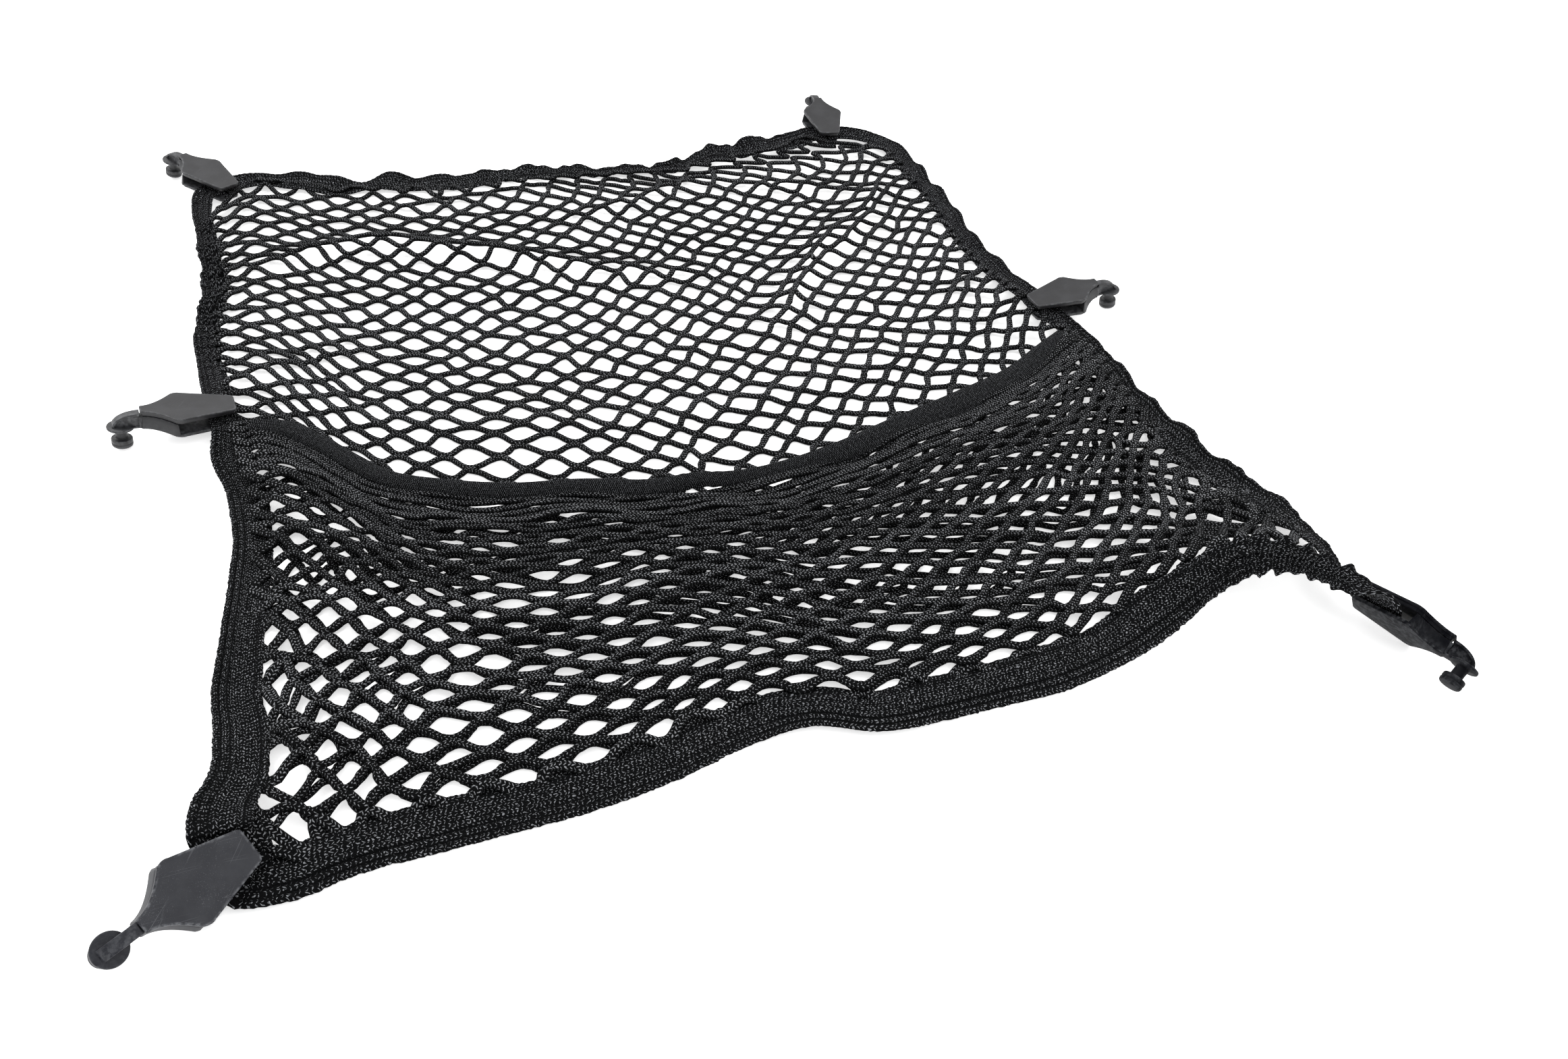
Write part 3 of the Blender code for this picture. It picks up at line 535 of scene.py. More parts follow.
class TapeSettings(PropertyGroup):
    """Sizes of the knitted edge tapes and of the elastic at the mouth."""

    width: FloatProperty(
        name="Tape Width", description="Width that the side and back tapes were knitted to", default=0.020,
        min=0.005, max=0.05, unit="LENGTH", precision=4)
    front_width: FloatProperty(
        name="Front Tape Width", description="Width that the front tape was knitted to", default=0.026,
        min=0.005, max=0.05, unit="LENGTH", precision=4)
    wale_width: FloatProperty(
        name="Wale Width", description="Width of one lengthwise row of stitches", default=0.0021,
        min=0.0005, max=0.006, unit="LENGTH", precision=4)
    band_width: FloatProperty(
        name="Elastic Width", description="Width that the elastic was made to", default=0.014,
        min=0.005, max=0.05, unit="LENGTH", precision=4)
    rib_width: FloatProperty(
        name="Elastic Rib", description="Width of one rib of the elastic", default=0.0015,
        min=0.0005, max=0.006, unit="LENGTH", precision=4)
    colour: FloatVectorProperty(
        name="Tape Colour", description="Yarn colour of the tapes", subtype="COLOR", size=3,
        default=(0.0022, 0.0023, 0.0027), min=0.0, max=1.0)
    # Painted highlight: the colour mixed into the tapes' and the elastic's yarn where a stitch catches the
    # light.
    painted_highlight: FloatVectorProperty(
        name="Tape Painted Highlight", description="Colour where a stitch of a tape catches the light",
        subtype="COLOR", size=3, default=(0.235, 0.243, 0.258), min=0.0, max=1.0)


class ClipSettings(PropertyGroup):
    """Finish of the moulded clips, with darker colours of painted shade for the two front clips."""

    edge_round: FloatProperty(
        name="Edge Round", description="Rounding of the moulded edges", default=0.0005,
        min=0.0001, max=0.001, unit="LENGTH", precision=4)
    lid_colour: FloatVectorProperty(
        name="Lid Colour", description="Plastic colour of the lids", subtype="COLOR", size=3,
        default=(0.0165, 0.0163, 0.0180), min=0.0, max=1.0)
    # Painted shade: a darker, slightly bluer copy of the lid plastic for the front left clip's lid and
    # moulding.
    front_lid_shaded_colour: FloatVectorProperty(
        name="Front Lid Colour, Painted Shade", description="Plastic colour of the front left clip", subtype="COLOR",
        size=3, default=(0.0036, 0.0044, 0.0092), min=0.0, max=1.0)
    # Painted shade: a much darker copy of the plastic for the whole front right clip, for its side that faces
    # the front.
    dull_painted_shade_colour: FloatVectorProperty(
        name="Dull Clip Colour, Painted Shade", description="Plastic colour of the front right clip", subtype="COLOR",
        size=3, default=(0.0026, 0.0028, 0.0042), min=0.0, max=1.0)
    body_colour: FloatVectorProperty(
        name="Body Colour", description="Plastic colour of the lower mouldings", subtype="COLOR", size=3,
        default=(0.0120, 0.0121, 0.0138), min=0.0, max=1.0)
    scratches: FloatProperty(
        name="Scratches", description="How much fine scratches and dust show", default=0.5,
        min=0.0, max=1.0, subtype="FACTOR")


class StageSettings(PropertyGroup):
    """Floor, light and camera."""

    floor_width: FloatProperty(
        name="Floor Width", description="Width of the pale floor", default=12.0, min=2.0, max=60.0,
        unit="LENGTH")
    sky_light: FloatProperty(
        name="Sky Light", description="Strength of the even light from all round", default=0.95,
        min=0.0, max=5.0)
    key_light: FloatProperty(
        name="Key Light", description="Power of the large soft light", default=26.0, min=0.0, max=500.0,
        unit="POWER")
    fill_light: FloatProperty(
        name="Fill Light", description="Power of the second soft light", default=9.0, min=0.0, max=500.0,
        unit="POWER")


# ---------------------------------------------------------------- routes and surfaces

def arc_lengths(points):
    """Distance along a line of points: the running sum of the steps' lengths."""
    steps = np.linalg.norm(np.diff(points, axis=0), axis=1)
    return np.concatenate([[0.0], np.cumsum(steps)])


def smooth_rows(knots, rows, wanted):
    """Rows of values read from a smooth curve: cubic pieces that meet in the rows with the same slopes."""
    slopes = np.gradient(rows, knots, axis=0)
    index = np.clip(np.searchsorted(knots, wanted, side="right") - 1, 0, len(knots) - 2)
    span = (knots[index + 1] - knots[index])[:, None]
    t = (wanted[:, None] - knots[index][:, None]) / span
    return ((2 * t**3 - 3 * t**2 + 1) * rows[index] + (t**3 - 2 * t**2 + t) * span * slopes[index]
            + (3 * t**2 - 2 * t**3) * rows[index + 1] + (t**3 - t**2) * span * slopes[index + 1])


def unit(vectors):
    """Vectors along the last axis, each divided by its length."""
    return vectors / np.maximum(np.linalg.norm(vectors, axis=-1, keepdims=True), 1e-9)


def evened(values, reach):
    """Values along a line, each replaced by the mean of its neighbours up to reach steps away."""
    count = 2 * reach + 1
    return np.convolve(np.pad(values, reach, mode="edge"), np.ones(count) / count, mode="valid")


def waves(along, aside, rng, kind):
    """Smooth unevenness of about -1 to 1: a scaled sum of sines with random lengths, headings and starts."""
    length = rng.uniform(kind.shortest, kind.longest, kind.count)
    heading = rng.uniform(0, tau, kind.count)
    start = rng.uniform(0, tau, kind.count)
    turn = tau / length
    phase = (along[..., None] * np.cos(heading) + aside[..., None] * np.sin(heading)) * turn + start
    return np.sin(phase).sum(-1) / np.sqrt(kind.count) * 0.8


def clip_frames():
    """Each clip's place: its plan and turn from the table, and its height from the solid lid's top face.

    The top face is the clip's own z = 0, so the furthest that the lid reaches along the clip's z gives
    the height of the origin: furthest = z . origin.
    """
    frames = {}
    for place in CLIPS:
        turn = Euler((radians(place.roll), radians(place.pitch), radians(place.heading)), "XYZ").to_matrix()
        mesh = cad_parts[f"clip_{place.name}_lid"].data
        points = np.empty(len(mesh.vertices) * 3)
        mesh.vertices.foreach_get("co", points)
        points = points.reshape(-1, 3) / MM + ORIGIN
        up = np.array(turn.col[2])
        height = ((points @ up).max() - up[0] * place.x - up[1] * place.y) / up[2]
        frames[place.name] = Matrix.Translation((place.x, place.y, height)) @ turn.to_4x4()
    return frames


def tape_stations(stations, frames, outer_sign):
    """Middle points, outward vectors, half widths and ruffle heights at a tape's stations."""
    middles = np.array([
        frames[row.clip] @ Vector((row.along, row.aside, row.lift - TAPE_DEPTH))
        if isinstance(row, Held) else Vector((row.x, row.y, row.z)) for row in stations])
    tangents = np.gradient(middles, arc_lengths(middles), axis=0)
    outward, half_widths, ruffles = [], [], []
    for row, tangent in zip(stations, tangents):
        if isinstance(row, Held):
            turn = radians(row.turn)
            outward.append(frames[row.clip].to_3x3() @ Vector((-cos(turn), -sin(turn), 0)))
            half_widths.append(row.width / 2)
            ruffles.append(0.0)
        else:
            level = Vector((tangent[1], -tangent[0], 0.0)).normalized() * outer_sign
            lean = radians(row.lean)
            outward.append(cos(lean) * level + sin(lean) * Vector((0, 0, 1)))
            half_widths.append(TAPE_WIDTH / 2)
            ruffles.append(row.ruffle)
    return middles, np.array(outward), np.array(half_widths), np.array(ruffles)


def tape_route(side, frames, step):
    """A tape sampled every step: distances, middles, outward vectors, half widths and lifts.

    The lift of the outer edge is the ruffle height times a raised cosine of the distance.
    """
    stations, outer_sign = TAPES[side]
    middles, outward, half_widths, ruffles = tape_stations(stations, frames, outer_sign)
    knots = arc_lengths(middles)
    wanted = np.linspace(0.0, knots[-1], int(round(knots[-1] / step)) + 1)
    sampled = smooth_rows(knots, np.column_stack([middles, outward, half_widths, ruffles]), wanted)
    middle, across = sampled[:, 0:3], sampled[:, 3:6]
    tangents = unit(np.gradient(middle, wanted, axis=0))
    across = unit(across - np.sum(across * tangents, axis=1)[:, None] * tangents)
    ruffle = np.maximum(sampled[:, 7], 0.0)
    lift = ruffle * (0.5 - 0.5 * np.cos(tau * wanted / RUFFLE_LENGTH))
    return wanted, middle, across, sampled[:, 6], lift


def tape_edges(side, frames):
    """A tape's inner edge and middle as two columns, for the seam of the nets."""
    _, middle, across, half_width, lift = tape_route(side, frames, SEAM_STEP)
    inner = middle - across * half_width[:, None]
    centre = middle + 0.35 * lift[:, None] * np.array([0.0, 0.0, 1.0])
    surface = np.stack([inner, centre], axis=1)
    surface[:, :, 2] = np.maximum(surface[:, :, 2], TAPE_THICKNESS / 2)
    return surface


def band_route(step):
    """The elastic sampled every step: distances, back edge, the way down its face, and its lean."""
    rows = np.array(MOUTH_BAND, float)
    knots = arc_lengths(rows[:, 0:3])
    wanted = np.linspace(0.0, knots[-1], int(round(knots[-1] / step)) + 1)
    sampled = smooth_rows(knots, rows, wanted)
    back, lean = sampled[:, 0:3], np.radians(sampled[:, 3])
    tangents = unit(np.gradient(back, wanted, axis=0))
    forward = unit(np.column_stack([tangents[:, 1], -tangents[:, 0], np.zeros(len(lean))]))
    toward = np.cos(lean)[:, None] * forward + np.sin(lean)[:, None] * np.array([0.0, 0.0, -1.0])
    return wanted, back, toward, tangents


def even_samples(line, count):
    """A line of points read at evenly spaced places along it."""
    knots = arc_lengths(line)
    return smooth_rows(knots, line, np.linspace(0.0, knots[-1], count))


def seam_line(surface, first_corner, last_corner, count):
    """A net's edge beside a tape: the inner edge moved in by the gap, with both ends drawn to corners."""
    across = unit(surface[:, 0] - surface[:, 1])
    line = even_samples(surface[:, 0] + SEAM_GAP * across, count)
    share = np.linspace(0.0, 1.0, count)[:, None]
    pull = CORNER_REACH / arc_lengths(line)[-1]
    start = (first_corner - line[0]) * np.exp(-(share / pull) ** 2)
    end = (last_corner - line[-1]) * np.exp(-((1 - share) / pull) ** 2)
    return line + start + end


def patch_plan(front, back, left, right):
    """A patch between four edges in plan: the sum of both side-to-side blends, less the corners' blend."""
    u = np.linspace(0, 1, front.shape[0])[None, :, None]
    v = np.linspace(0, 1, left.shape[0])[:, None, None]
    sides = (1 - u) * left[:, None] + u * right[:, None]
    ends = (1 - v) * front[None] + v * back[None]
    corners = ((1 - u) * (1 - v) * front[0] + u * (1 - v) * front[-1]
               + (1 - u) * v * back[0] + u * v * back[-1])
    return (sides + ends - corners)[:, :, :2]


def lying_height(plan, seams):
    """Height of cloth on the floor that its seams hold up: their near height times a bell of distance."""
    points = np.vstack(seams)
    squared = np.sum((plan[:, :, None, :] - points[None, None, :, :2]) ** 2, axis=3)
    weights = 1 / (squared + 1) ** 1.5
    near_height = np.sum(weights * points[:, 2], axis=2) / np.sum(weights, axis=2)
    bell = np.exp(-np.min(squared, axis=2) / EDGE_REACH**2)
    return np.maximum((1 - SEAM_DROP) * near_height * bell, NET_THICKNESS / 2)


def beside_fold(fold, x, y):
    """How far places lie along and across a fold's ridge from its middle: the plan turned by its heading."""
    turn = radians(fold.heading)
    x, y = x - fold.x, y - fold.y
    return x * cos(turn) + y * sin(turn), y * cos(turn) - x * sin(turn)


def fold_heights(x, y):
    """Height of the soft folds: each is a bell across its ridge that fades at both of its ends."""
    total = np.zeros_like(x)
    for fold in FOLDS:
        along, across = beside_fold(fold, x, y)
        total = total + fold.height * np.exp(-(across / fold.half_width) ** 2
                                             - (along / fold.half_length) ** 4)
    return total


def edge_fade(plan):
    """1 inside a patch and 0 on its edges: (1 - a to the 6th)(1 - b to the 6th), with a, b from -1 to 1."""
    v = np.linspace(-1, 1, plan.shape[0])[:, None]
    u = np.linspace(-1, 1, plan.shape[1])[None, :]
    return (1 - u**6) * (1 - v**6)


def part_of_line(surface, axis, low, high):
    """The stretch of a tape whose inner edge lies between two places along X or Y."""
    inside = (surface[:, 0, axis] > low) & (surface[:, 0, axis] < high)
    return surface[inside]


def net_surfaces(frames):
    """The middle surfaces of both nets as grids: the main net's two halves, and the pocket's.

    Both are patches between the tapes' seams and the mouth line.  The pocket's height is the greater of
    the lying cloth plus the layer rise, and a power of the share of the way back times the mouth's
    height, plus a hump that is a sine of that share.
    """
    _, back, toward, _ = band_route(SEAM_STEP)
    mouth = even_samples(back + toward * (BAND_WIDTH + SEAM_GAP), SURFACE_ACROSS)
    corners = {name: np.array(point, float) for name, point in CORNERS.items()}
    tapes = {side: tape_edges(side, frames) for side in TAPES}
    seams = {}
    front_tape = part_of_line(tapes["front"], 0, corners["front_left"][0],
                              corners["front_right"][0] - TAPE_WIDTH / 2)
    seams["front"] = seam_line(front_tape, corners["front_left"], corners["front_right"], SURFACE_ACROSS)
    seams["back"] = seam_line(tapes["back"], corners["back_left"], corners["back_right"], SURFACE_ACROSS)
    for side, end in (("left", mouth[0]), ("right", mouth[-1])):
        first, last = corners[f"front_{side}"], corners[f"back_{side}"]
        order = np.argsort(tapes[side][:, 0, 1])
        height = np.interp(end[1], tapes[side][order, 0, 1], tapes[side][order, 0, 2])
        end = end * (1, 1, 0) + (0, 0, height)
        near = part_of_line(tapes[side], 1, first[1], end[1])
        far = part_of_line(tapes[side], 1, end[1], last[1])
        seams[f"{side}_near"] = seam_line(near, first, end, SURFACE_NEAR)
        seams[f"{side}_far"] = seam_line(far, end, last, SURFACE_FAR)
    edges = list(seams.values())
    near_plan = patch_plan(seams["front"], mouth, seams["left_near"], seams["right_near"])
    far_plan = patch_plan(mouth, seams["back"], seams["left_far"], seams["right_far"])
    near = lying_height(near_plan, edges)
    far = lying_height(far_plan, edges)
    far = far + edge_fade(far_plan) * fold_heights(far_plan[:, :, 0], far_plan[:, :, 1])
    v = np.linspace(0, 1, SURFACE_NEAR)[:, None]
    u = np.linspace(0, 1, SURFACE_ACROSS)[None, :]
    hump = POCKET_HUMP * np.sin(pi * v ** HUMP_POWER) * (1 - (2 * u - 1) ** 4)
    hump = hump * (1 + HUMP_RIPPLE * np.cos(4 * pi * u))
    pocket = np.maximum(near + LAYER_RISE, v ** MOUTH_RISE_POWER * mouth[None, :, 2] + hump)
    return np.dstack([near_plan, near]), np.dstack([far_plan, far]), np.dstack([near_plan, pocket])


def cubic_point(surface, u, v):
    """Points of a grid surface at shares u across and v along, from the cubic through its neighbours.

    The grid is first carried on by one straight step on each side.  In both directions a cubic passes
    through the two nearest points, with slopes that are half of the way between each one's neighbours.
    """
    rows = np.concatenate([2 * surface[:1] - surface[1:2], surface, 2 * surface[-1:] - surface[-2:-1]])
    grid = np.concatenate([2 * rows[:, :1] - rows[:, 1:2], rows, 2 * rows[:, -1:] - rows[:, -2:-1]], axis=1)

    def neighbours(share, count):
        place = share * (count - 1)
        index = np.clip(place.astype(int), 0, count - 2)
        t = place - index
        weights = np.stack([-0.5 * t**3 + t**2 - 0.5 * t, 1.5 * t**3 - 2.5 * t**2 + 1,
                            -1.5 * t**3 + 2 * t**2 + 0.5 * t, 0.5 * t**3 - 0.5 * t**2])
        return index, weights

    row, row_weights = neighbours(v, surface.shape[0])
    column, column_weights = neighbours(u, surface.shape[1])
    total = np.zeros(u.shape + (3,))
    for i in range(4):
        for j in range(4):
            share = (row_weights[i] * column_weights[j])[..., None]
            total += share * grid[row + i, column + j]
    return total


def read_surface(surface, u, v, step=0.02):
    """Points of a grid surface, carried straight on past its edges: value + excess / step (value - inner)."""
    near_u, near_v = np.clip(u, 0, 1), np.clip(v, 0, 1)
    value = cubic_point(surface, near_u, near_v)
    inner_u = cubic_point(surface, np.clip(near_u, step, 1 - step), near_v)
    inner_v = cubic_point(surface, near_u, np.clip(near_v, step, 1 - step))
    return (value + (np.abs(u - near_u) / step)[..., None] * (value - inner_u)
            + (np.abs(v - near_v) / step)[..., None] * (value - inner_v))


# ---------------------------------------------------------------- meshes

def wrapped_quads(tubes, rings, sides):
    """Faces of many tubes: for each tube, ring and side, the quad to the next ring and the next side."""
    tube, ring, side = np.meshgrid(np.arange(tubes), np.arange(rings - 1), np.arange(sides), indexing="ij")
    base = (tube * rings + ring) * sides
    after = (side + 1) % sides
    quads = np.stack([base + side, base + after, base + sides + after, base + sides + side], axis=-1)
    return quads.reshape(-1, 4)


def end_caps(tubes, rings, sides):
    """The two end faces of each tube: its first ring turned round, and its last ring."""
    base = np.arange(tubes)[:, None] * rings * sides
    first = base + np.arange(sides)[::-1][None, :]
    last = base + (rings - 1) * sides + np.arange(sides)[None, :]
    return np.concatenate([first, last])


def tube_uv(around, along):
    """Corner places for the quads of tubes: around holds one more value than sides, along one per ring."""
    tubes, rings = along.shape
    sides = len(around) - 1
    u = np.broadcast_to(np.stack([around[:-1], around[1:], around[1:], around[:-1]], -1),
                        (tubes, rings - 1, sides, 4))
    low, high = along[:, :-1, None], along[:, 1:, None]
    v = np.broadcast_to(np.stack([low, low, high, high], -1), (tubes, rings - 1, sides, 4))
    return np.stack([u, v], -1).reshape(-1, 2)


def volume(points, quads):
    """Six times the volume inside quads: the sum of the corner products of their two triangles."""
    a, b, c, d = (points[quads[:, i]] for i in range(4))
    return float((a * np.cross(b, c)).sum() + (a * np.cross(c, d)).sum())


def add_object(name, mesh, material):
    """Put a mesh into the scene as an object with its material."""
    mesh.materials.append(material)
    piece = bpy.data.objects.new(name, mesh)
    bpy.context.scene.collection.objects.link(piece)
    return piece


def keep_values(mesh, label, numbers):
    """Keep one number for each point of a mesh under a label, for its material."""
    held = mesh.attributes.new(label, "FLOAT", "POINT")
    held.data.foreach_set("value", np.asarray(numbers, np.float32).ravel())


def stand_in(piece, solid):
    """Let a piece ride on the net's one body in place of its solid, which is hidden."""
    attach(piece, BODY)
    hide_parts(solid)


def make_piece(name, points, quads, caps, corner_places, material, values=None):
    """Make a closed piece from points in millimetres, with its UV map and its per-point values."""
    if volume(points - points.mean(0), quads) < 0:
        quads, caps = quads[:, ::-1], caps[:, ::-1]
        corner_places = corner_places.reshape(-1, 4, 2)[:, ::-1].reshape(-1, 2)
    mesh = bpy.data.meshes.new(name)
    faces = quads.tolist() + caps.tolist()
    mesh.from_pydata(((points - ORIGIN) * MM).tolist(), [], faces)
    mesh.shade_smooth()
    places = np.zeros((len(mesh.loops), 2))
    places[:len(corner_places)] = corner_places
    layer = mesh.uv_layers.new(name="cloth")
    layer.data.foreach_set("uv", places.astype(np.float32).ravel())
    for label, numbers in (values or {}).items():
        keep_values(mesh, label, numbers)
    return add_object(name, mesh, material)


def rings_round(centres, sideways, upright, half_width, half_height, sides):
    """Rings round a path: centre + cos(a) half width sideways + sin(a) half height upright."""
    angle = np.arange(sides) / sides * tau
    return (centres[..., None, :]
            + (half_width[..., None] * np.cos(angle))[..., None] * sideways[..., None, :]
            + (half_height[..., None] * np.sin(angle))[..., None] * upright[..., None, :])


# ---------------------------------------------------------------- cord nets

def lattice(settings, rows):
    """Columns and rows of the joints, with columns first: u runs a little past both sides, v from 0 to 1."""
    columns = 2 * settings.diamonds_across
    u = np.linspace(*COLUMN_ENDS, columns + 1)[:, None] * np.ones((1, 2 * rows + 1))
    v = np.linspace(0, 1, 2 * rows + 1)[None, :] * np.ones((columns + 1, 1))
    return u, v


def uneven_lay(u, v, settings, rng):
    """Shares u and v shifted as the cloth lies: closer by the sides, tufts at the tapes, and slow waves.

    Both nets take the slow waves and the tufts from the same seed, because they are sewn together along
    the front, and shorter waves from their own.  The columns drift by sines of pi u, 2 pi u and
    4 pi u, most of all near the front.
    """
    shared = np.random.default_rng(SEED + 20)
    shift = settings.unevenness / MM
    length = np.where(v <= 1, LENGTH_UNDER, LENGTH_BEHIND)
    x, y = u * NET_WIDTH, np.where(v <= 1, v * LENGTH_UNDER, LENGTH_UNDER + (v - 1) * LENGTH_BEHIND)
    near = np.clip(NEAR_UNTIL - v, 0, 1)
    bundle = np.exp(-(np.minimum(u, 1 - u) / TUFT_REACH) ** 2)
    own = np.where(v <= 1, OWN_SHIFT_UNDER, OWN_SHIFT_BEHIND)
    uneven_u = (SLOW_SHIFT_ACROSS * waves(x, y, shared, SLOW_WAVES)
                + own * waves(x, y, rng, SHORT_WAVES)
                + shift * rng.standard_normal(u.shape))
    uneven_v = (SLOW_SHIFT_ALONG * waves(x, y, shared, SLOW_WAVES)
                + ALONG_SHARE * own * waves(x, y, rng, SHORT_WAVES)
                + ALONG_SHARE * shift * rng.standard_normal(u.shape)
                + bundle * TUFT_SHIFT * waves(y, 0 * y, shared, TUFT_WAVES))
    inside = np.clip(u, 0, 1)
    even_u = u + DRIFT * np.sin(pi * inside) - near * (
        NEAR_DRIFT[0] * np.sin(tau * inside) + NEAR_DRIFT[1] * np.sin(2 * tau * inside))
    even_u = even_u + (1 - near) * FAR_DRIFT * np.sin(tau * inside)
    return even_u + uneven_u / NET_WIDTH, v + uneven_v / length


def past_seam(side, place):
    """How far past the seam a tape's inner edge lies and its strands end, for places along X or Y.

    The inner edge is at the solid's width less how far the tape is drawn in, less its own width.  The
    strands end under it, a share of its width in from its outer edge.
    """
    lay = TapeRow(*np.array(TAPE_LAY[side]).T)
    outer = TAPE_WIDTH - np.interp(place, lay.place, lay.drawn_in)
    width = np.interp(place, lay.place, lay.width)
    return outer - width, outer - STRAND_END * width


def ends_past(surface, side, shares, step=0.02):
    """How far past a net's edge its strands end, as shares: the distance over the local size of a share."""
    far = side in ("right", "back")
    pair = [np.full(shares.shape, end) for end in ((1.0, 1 - step) if far else (0.0, step))]
    if side in ("left", "right"):
        edge, inner = (read_surface(surface, end, shares) for end in pair)
        _, past = past_seam(side, edge[:, 1])
    else:
        edge, inner = (read_surface(surface, shares, end) for end in pair)
        _, past = past_seam(side, edge[:, 0])
    return step * past / np.linalg.norm(edge - inner, axis=1)


def under_tapes(u, v, centres):
    """1 where a strand of the front half lies under the front, left or right tape, and 0 on the free net."""
    front, left, right = (past_seam(side, centres[..., axis])[0]
                          for side, axis in (("front", 0), ("left", 1), ("right", 1)))
    covered = np.maximum(COVER_FRONT - front - LENGTH_UNDER * v,
                         np.maximum(COVER_LEFT - left - NET_WIDTH * u, -right - NET_WIDTH * (1 - u)))
    return np.clip(covered / COVER_LENGTH, 0, 1)


def beside_tapes(u, v):
    """From 0 to 1 where strands bunch beside the front half's tapes: bells of the distance to each tape.

    The bell is wider in the front right corner, where the tapes stand up.
    """
    near_front = np.exp(-(np.maximum(v, 0) / BUNCH_FRONT) ** 2)
    near_sides = np.exp(-(np.maximum(np.minimum(u, 1 - u), 0) / BUNCH_SIDES) ** 2)
    strength, reach_u, reach_v = CORNER_BUNCH
    corner = strength * np.exp(-((1 - u) / reach_u) ** 2 - (v / reach_v) ** 2)
    return np.maximum(np.maximum(near_front, near_sides), corner)


def over_tapes(u, v):
    """How far a strand of the rear half has climbed onto a tape, and how far it is back down at its end."""
    past = np.maximum(np.maximum(-u, u - 1) * NET_WIDTH, (v - 2) * LENGTH_BEHIND)
    climb = np.clip((past + CLIMB_LENGTH / 2) / CLIMB_LENGTH, 0, 1)
    down = np.clip((past - (DOWN_AT - DOWN_LENGTH)) / DOWN_LENGTH, 0, 1)
    return climb * np.clip((DOWN_AT - past) / DOWN_LENGTH, 0, 1), down


def draw_into_folds(points):
    """Points drawn towards the ridges of the folds, by up to a share of their distance across."""
    points = points.copy()
    for fold in FOLDS:
        turn = radians(fold.heading)
        along, across = beside_fold(fold, points[..., 0], points[..., 1])
        size = PULL_REACH * fold.half_width
        pull = FOLD_PULL * across * np.exp(-(across / size) ** 2 - (along / fold.half_length) ** 4)
        points[..., 0] += pull * sin(turn)
        points[..., 1] -= pull * cos(turn)
    return points


def strand_shares(u, v, strands, offset, straightness, steps):
    """Shares u and v along each strand, which runs across the net and swings between two rows of joints.

    Strand s meets row s where column plus s is even, and row s + 1 where it is odd.  It passes each
    joint on its own side by the offset.  Between joints u grows evenly, and v follows a blend of a
    straight line and 6t^5 - 15t^4 + 10t^3, which leaves the joints along the row.
    """
    columns = u.shape[0] - 1
    column = np.arange(columns + 1)[None, :]
    strand = np.asarray(strands)[:, None]
    upper = (column + strand) % 2
    row = strand + upper
    at_u = u[column, row]
    at_v = v[column, row] + offset * (1 - 2 * upper)
    place = np.arange(columns * steps + 1) / steps
    before = np.minimum(place.astype(int), columns - 1)
    t = place - before
    eased = straightness * t + (1 - straightness) * (6 * t**5 - 15 * t**4 + 10 * t**3)
    return (at_u[:, before] * (1 - t) + at_u[:, before + 1] * t,
            at_v[:, before] * (1 - eased) + at_v[:, before + 1] * eased)


def cord_girth(settings):
    """Distance round a cord, in metres: pi times the mean of its width and height."""
    return pi * (settings.cord_height + settings.cord_width) / 2


def add_net(name, centres, press, settings, cord_width, solid, rng):
    """Make a net's strands as closed tubes, uneven in width and height, and flatter where pressed.

    The places round a strand run from 0 to the cord's girth, whatever its own width.
    """
    tubes, rings = centres.shape[:2]
    sides = CORD_SIDES
    half_height = settings.cord_height / MM / 2
    half_width = cord_width / MM / 2
    uneven = 1 + UNEVEN_HEIGHT * rng.standard_normal((tubes, rings))
    high = half_height * uneven * (1 - PRESSED_FLAT * press)
    wide = half_width * (2 - uneven) * (1 + UNEVEN_WIDTH * rng.standard_normal((tubes, rings)))
    centres = centres.copy()
    centres[..., 2] = np.maximum(centres[..., 2], high)
    tangent = unit(np.gradient(centres, axis=1))
    up = np.array([0.0, 0.0, 1.0])
    sideways = unit(np.cross(tangent, up))
    points = rings_round(centres, sideways, np.cross(sideways, tangent), wide, high, sides)
    steps = np.linalg.norm(np.diff(centres, axis=1), axis=2)
    along = np.concatenate([np.zeros((tubes, 1)), np.cumsum(steps, axis=1)], axis=1)
    along = along + rng.uniform(0, 60, (tubes, 1))
    around = np.linspace(0, 1, sides + 1) * cord_girth(settings) / MM
    shade = np.repeat(rng.uniform(0, 1, (tubes, 1)), rings * sides, axis=1)
    piece = make_piece(
        name, points.reshape(-1, 3), wrapped_quads(tubes, rings, sides), end_caps(tubes, rings, sides),
        tube_uv(around * MM, along * MM), cord_material(settings), {"strand": shade})
    stand_in(piece, solid)


# ---------------------------------------------------------------- ribbons

def ribbon_points(middle, across, upright, half_width, thickness, shares, relief):
    """A ribbon's closed section at each step: top points over the shares, and bottom points back.

    A point lies at middle + share half width across, and is raised by half of the thickness times
    (1 - share^8)^0.5 plus the relief on top, and lowered by the same thickness below.
    """
    top = middle + (half_width[:, None] * shares)[..., None] * across[:, None, :]
    rounded = np.sqrt(np.maximum(1 - shares**8, 0)) * thickness / 2
    top = top + (rounded[None, :] + relief)[..., None] * upright[:, None, :]
    low_shares = shares[1:-1][::-1][::2]
    low_middle = middle[:, 1:-1][:, ::-1][:, ::2]
    low = low_middle + (half_width[:, None] * low_shares)[..., None] * across[:, None, :]
    lowered = np.sqrt(np.maximum(1 - low_shares**8, 0)) * thickness / 2
    low = low - lowered[None, :, None] * upright[:, None, :]
    return np.concatenate([top, low], axis=1)


def upper_way(along, across):
    """The way up from a ribbon's face: square to its run and to its width, on the upper side."""
    upright = unit(np.cross(along, across))
    return upright * np.sign(upright[:, 2:3])


def away_from_ends(along, reach, start):
    """From 0 near both ends of a line to 1 further in: the distance over the reach, less the start."""
    return np.clip(np.minimum(along, along[-1] - along) / reach - start, 0, 1)


def raised_line(distance, line):
    """Relief of one line along a tape: its height times a bell of the distance from its place."""
    return line.height * np.exp(-((distance - line.place) / line.width) ** 2)


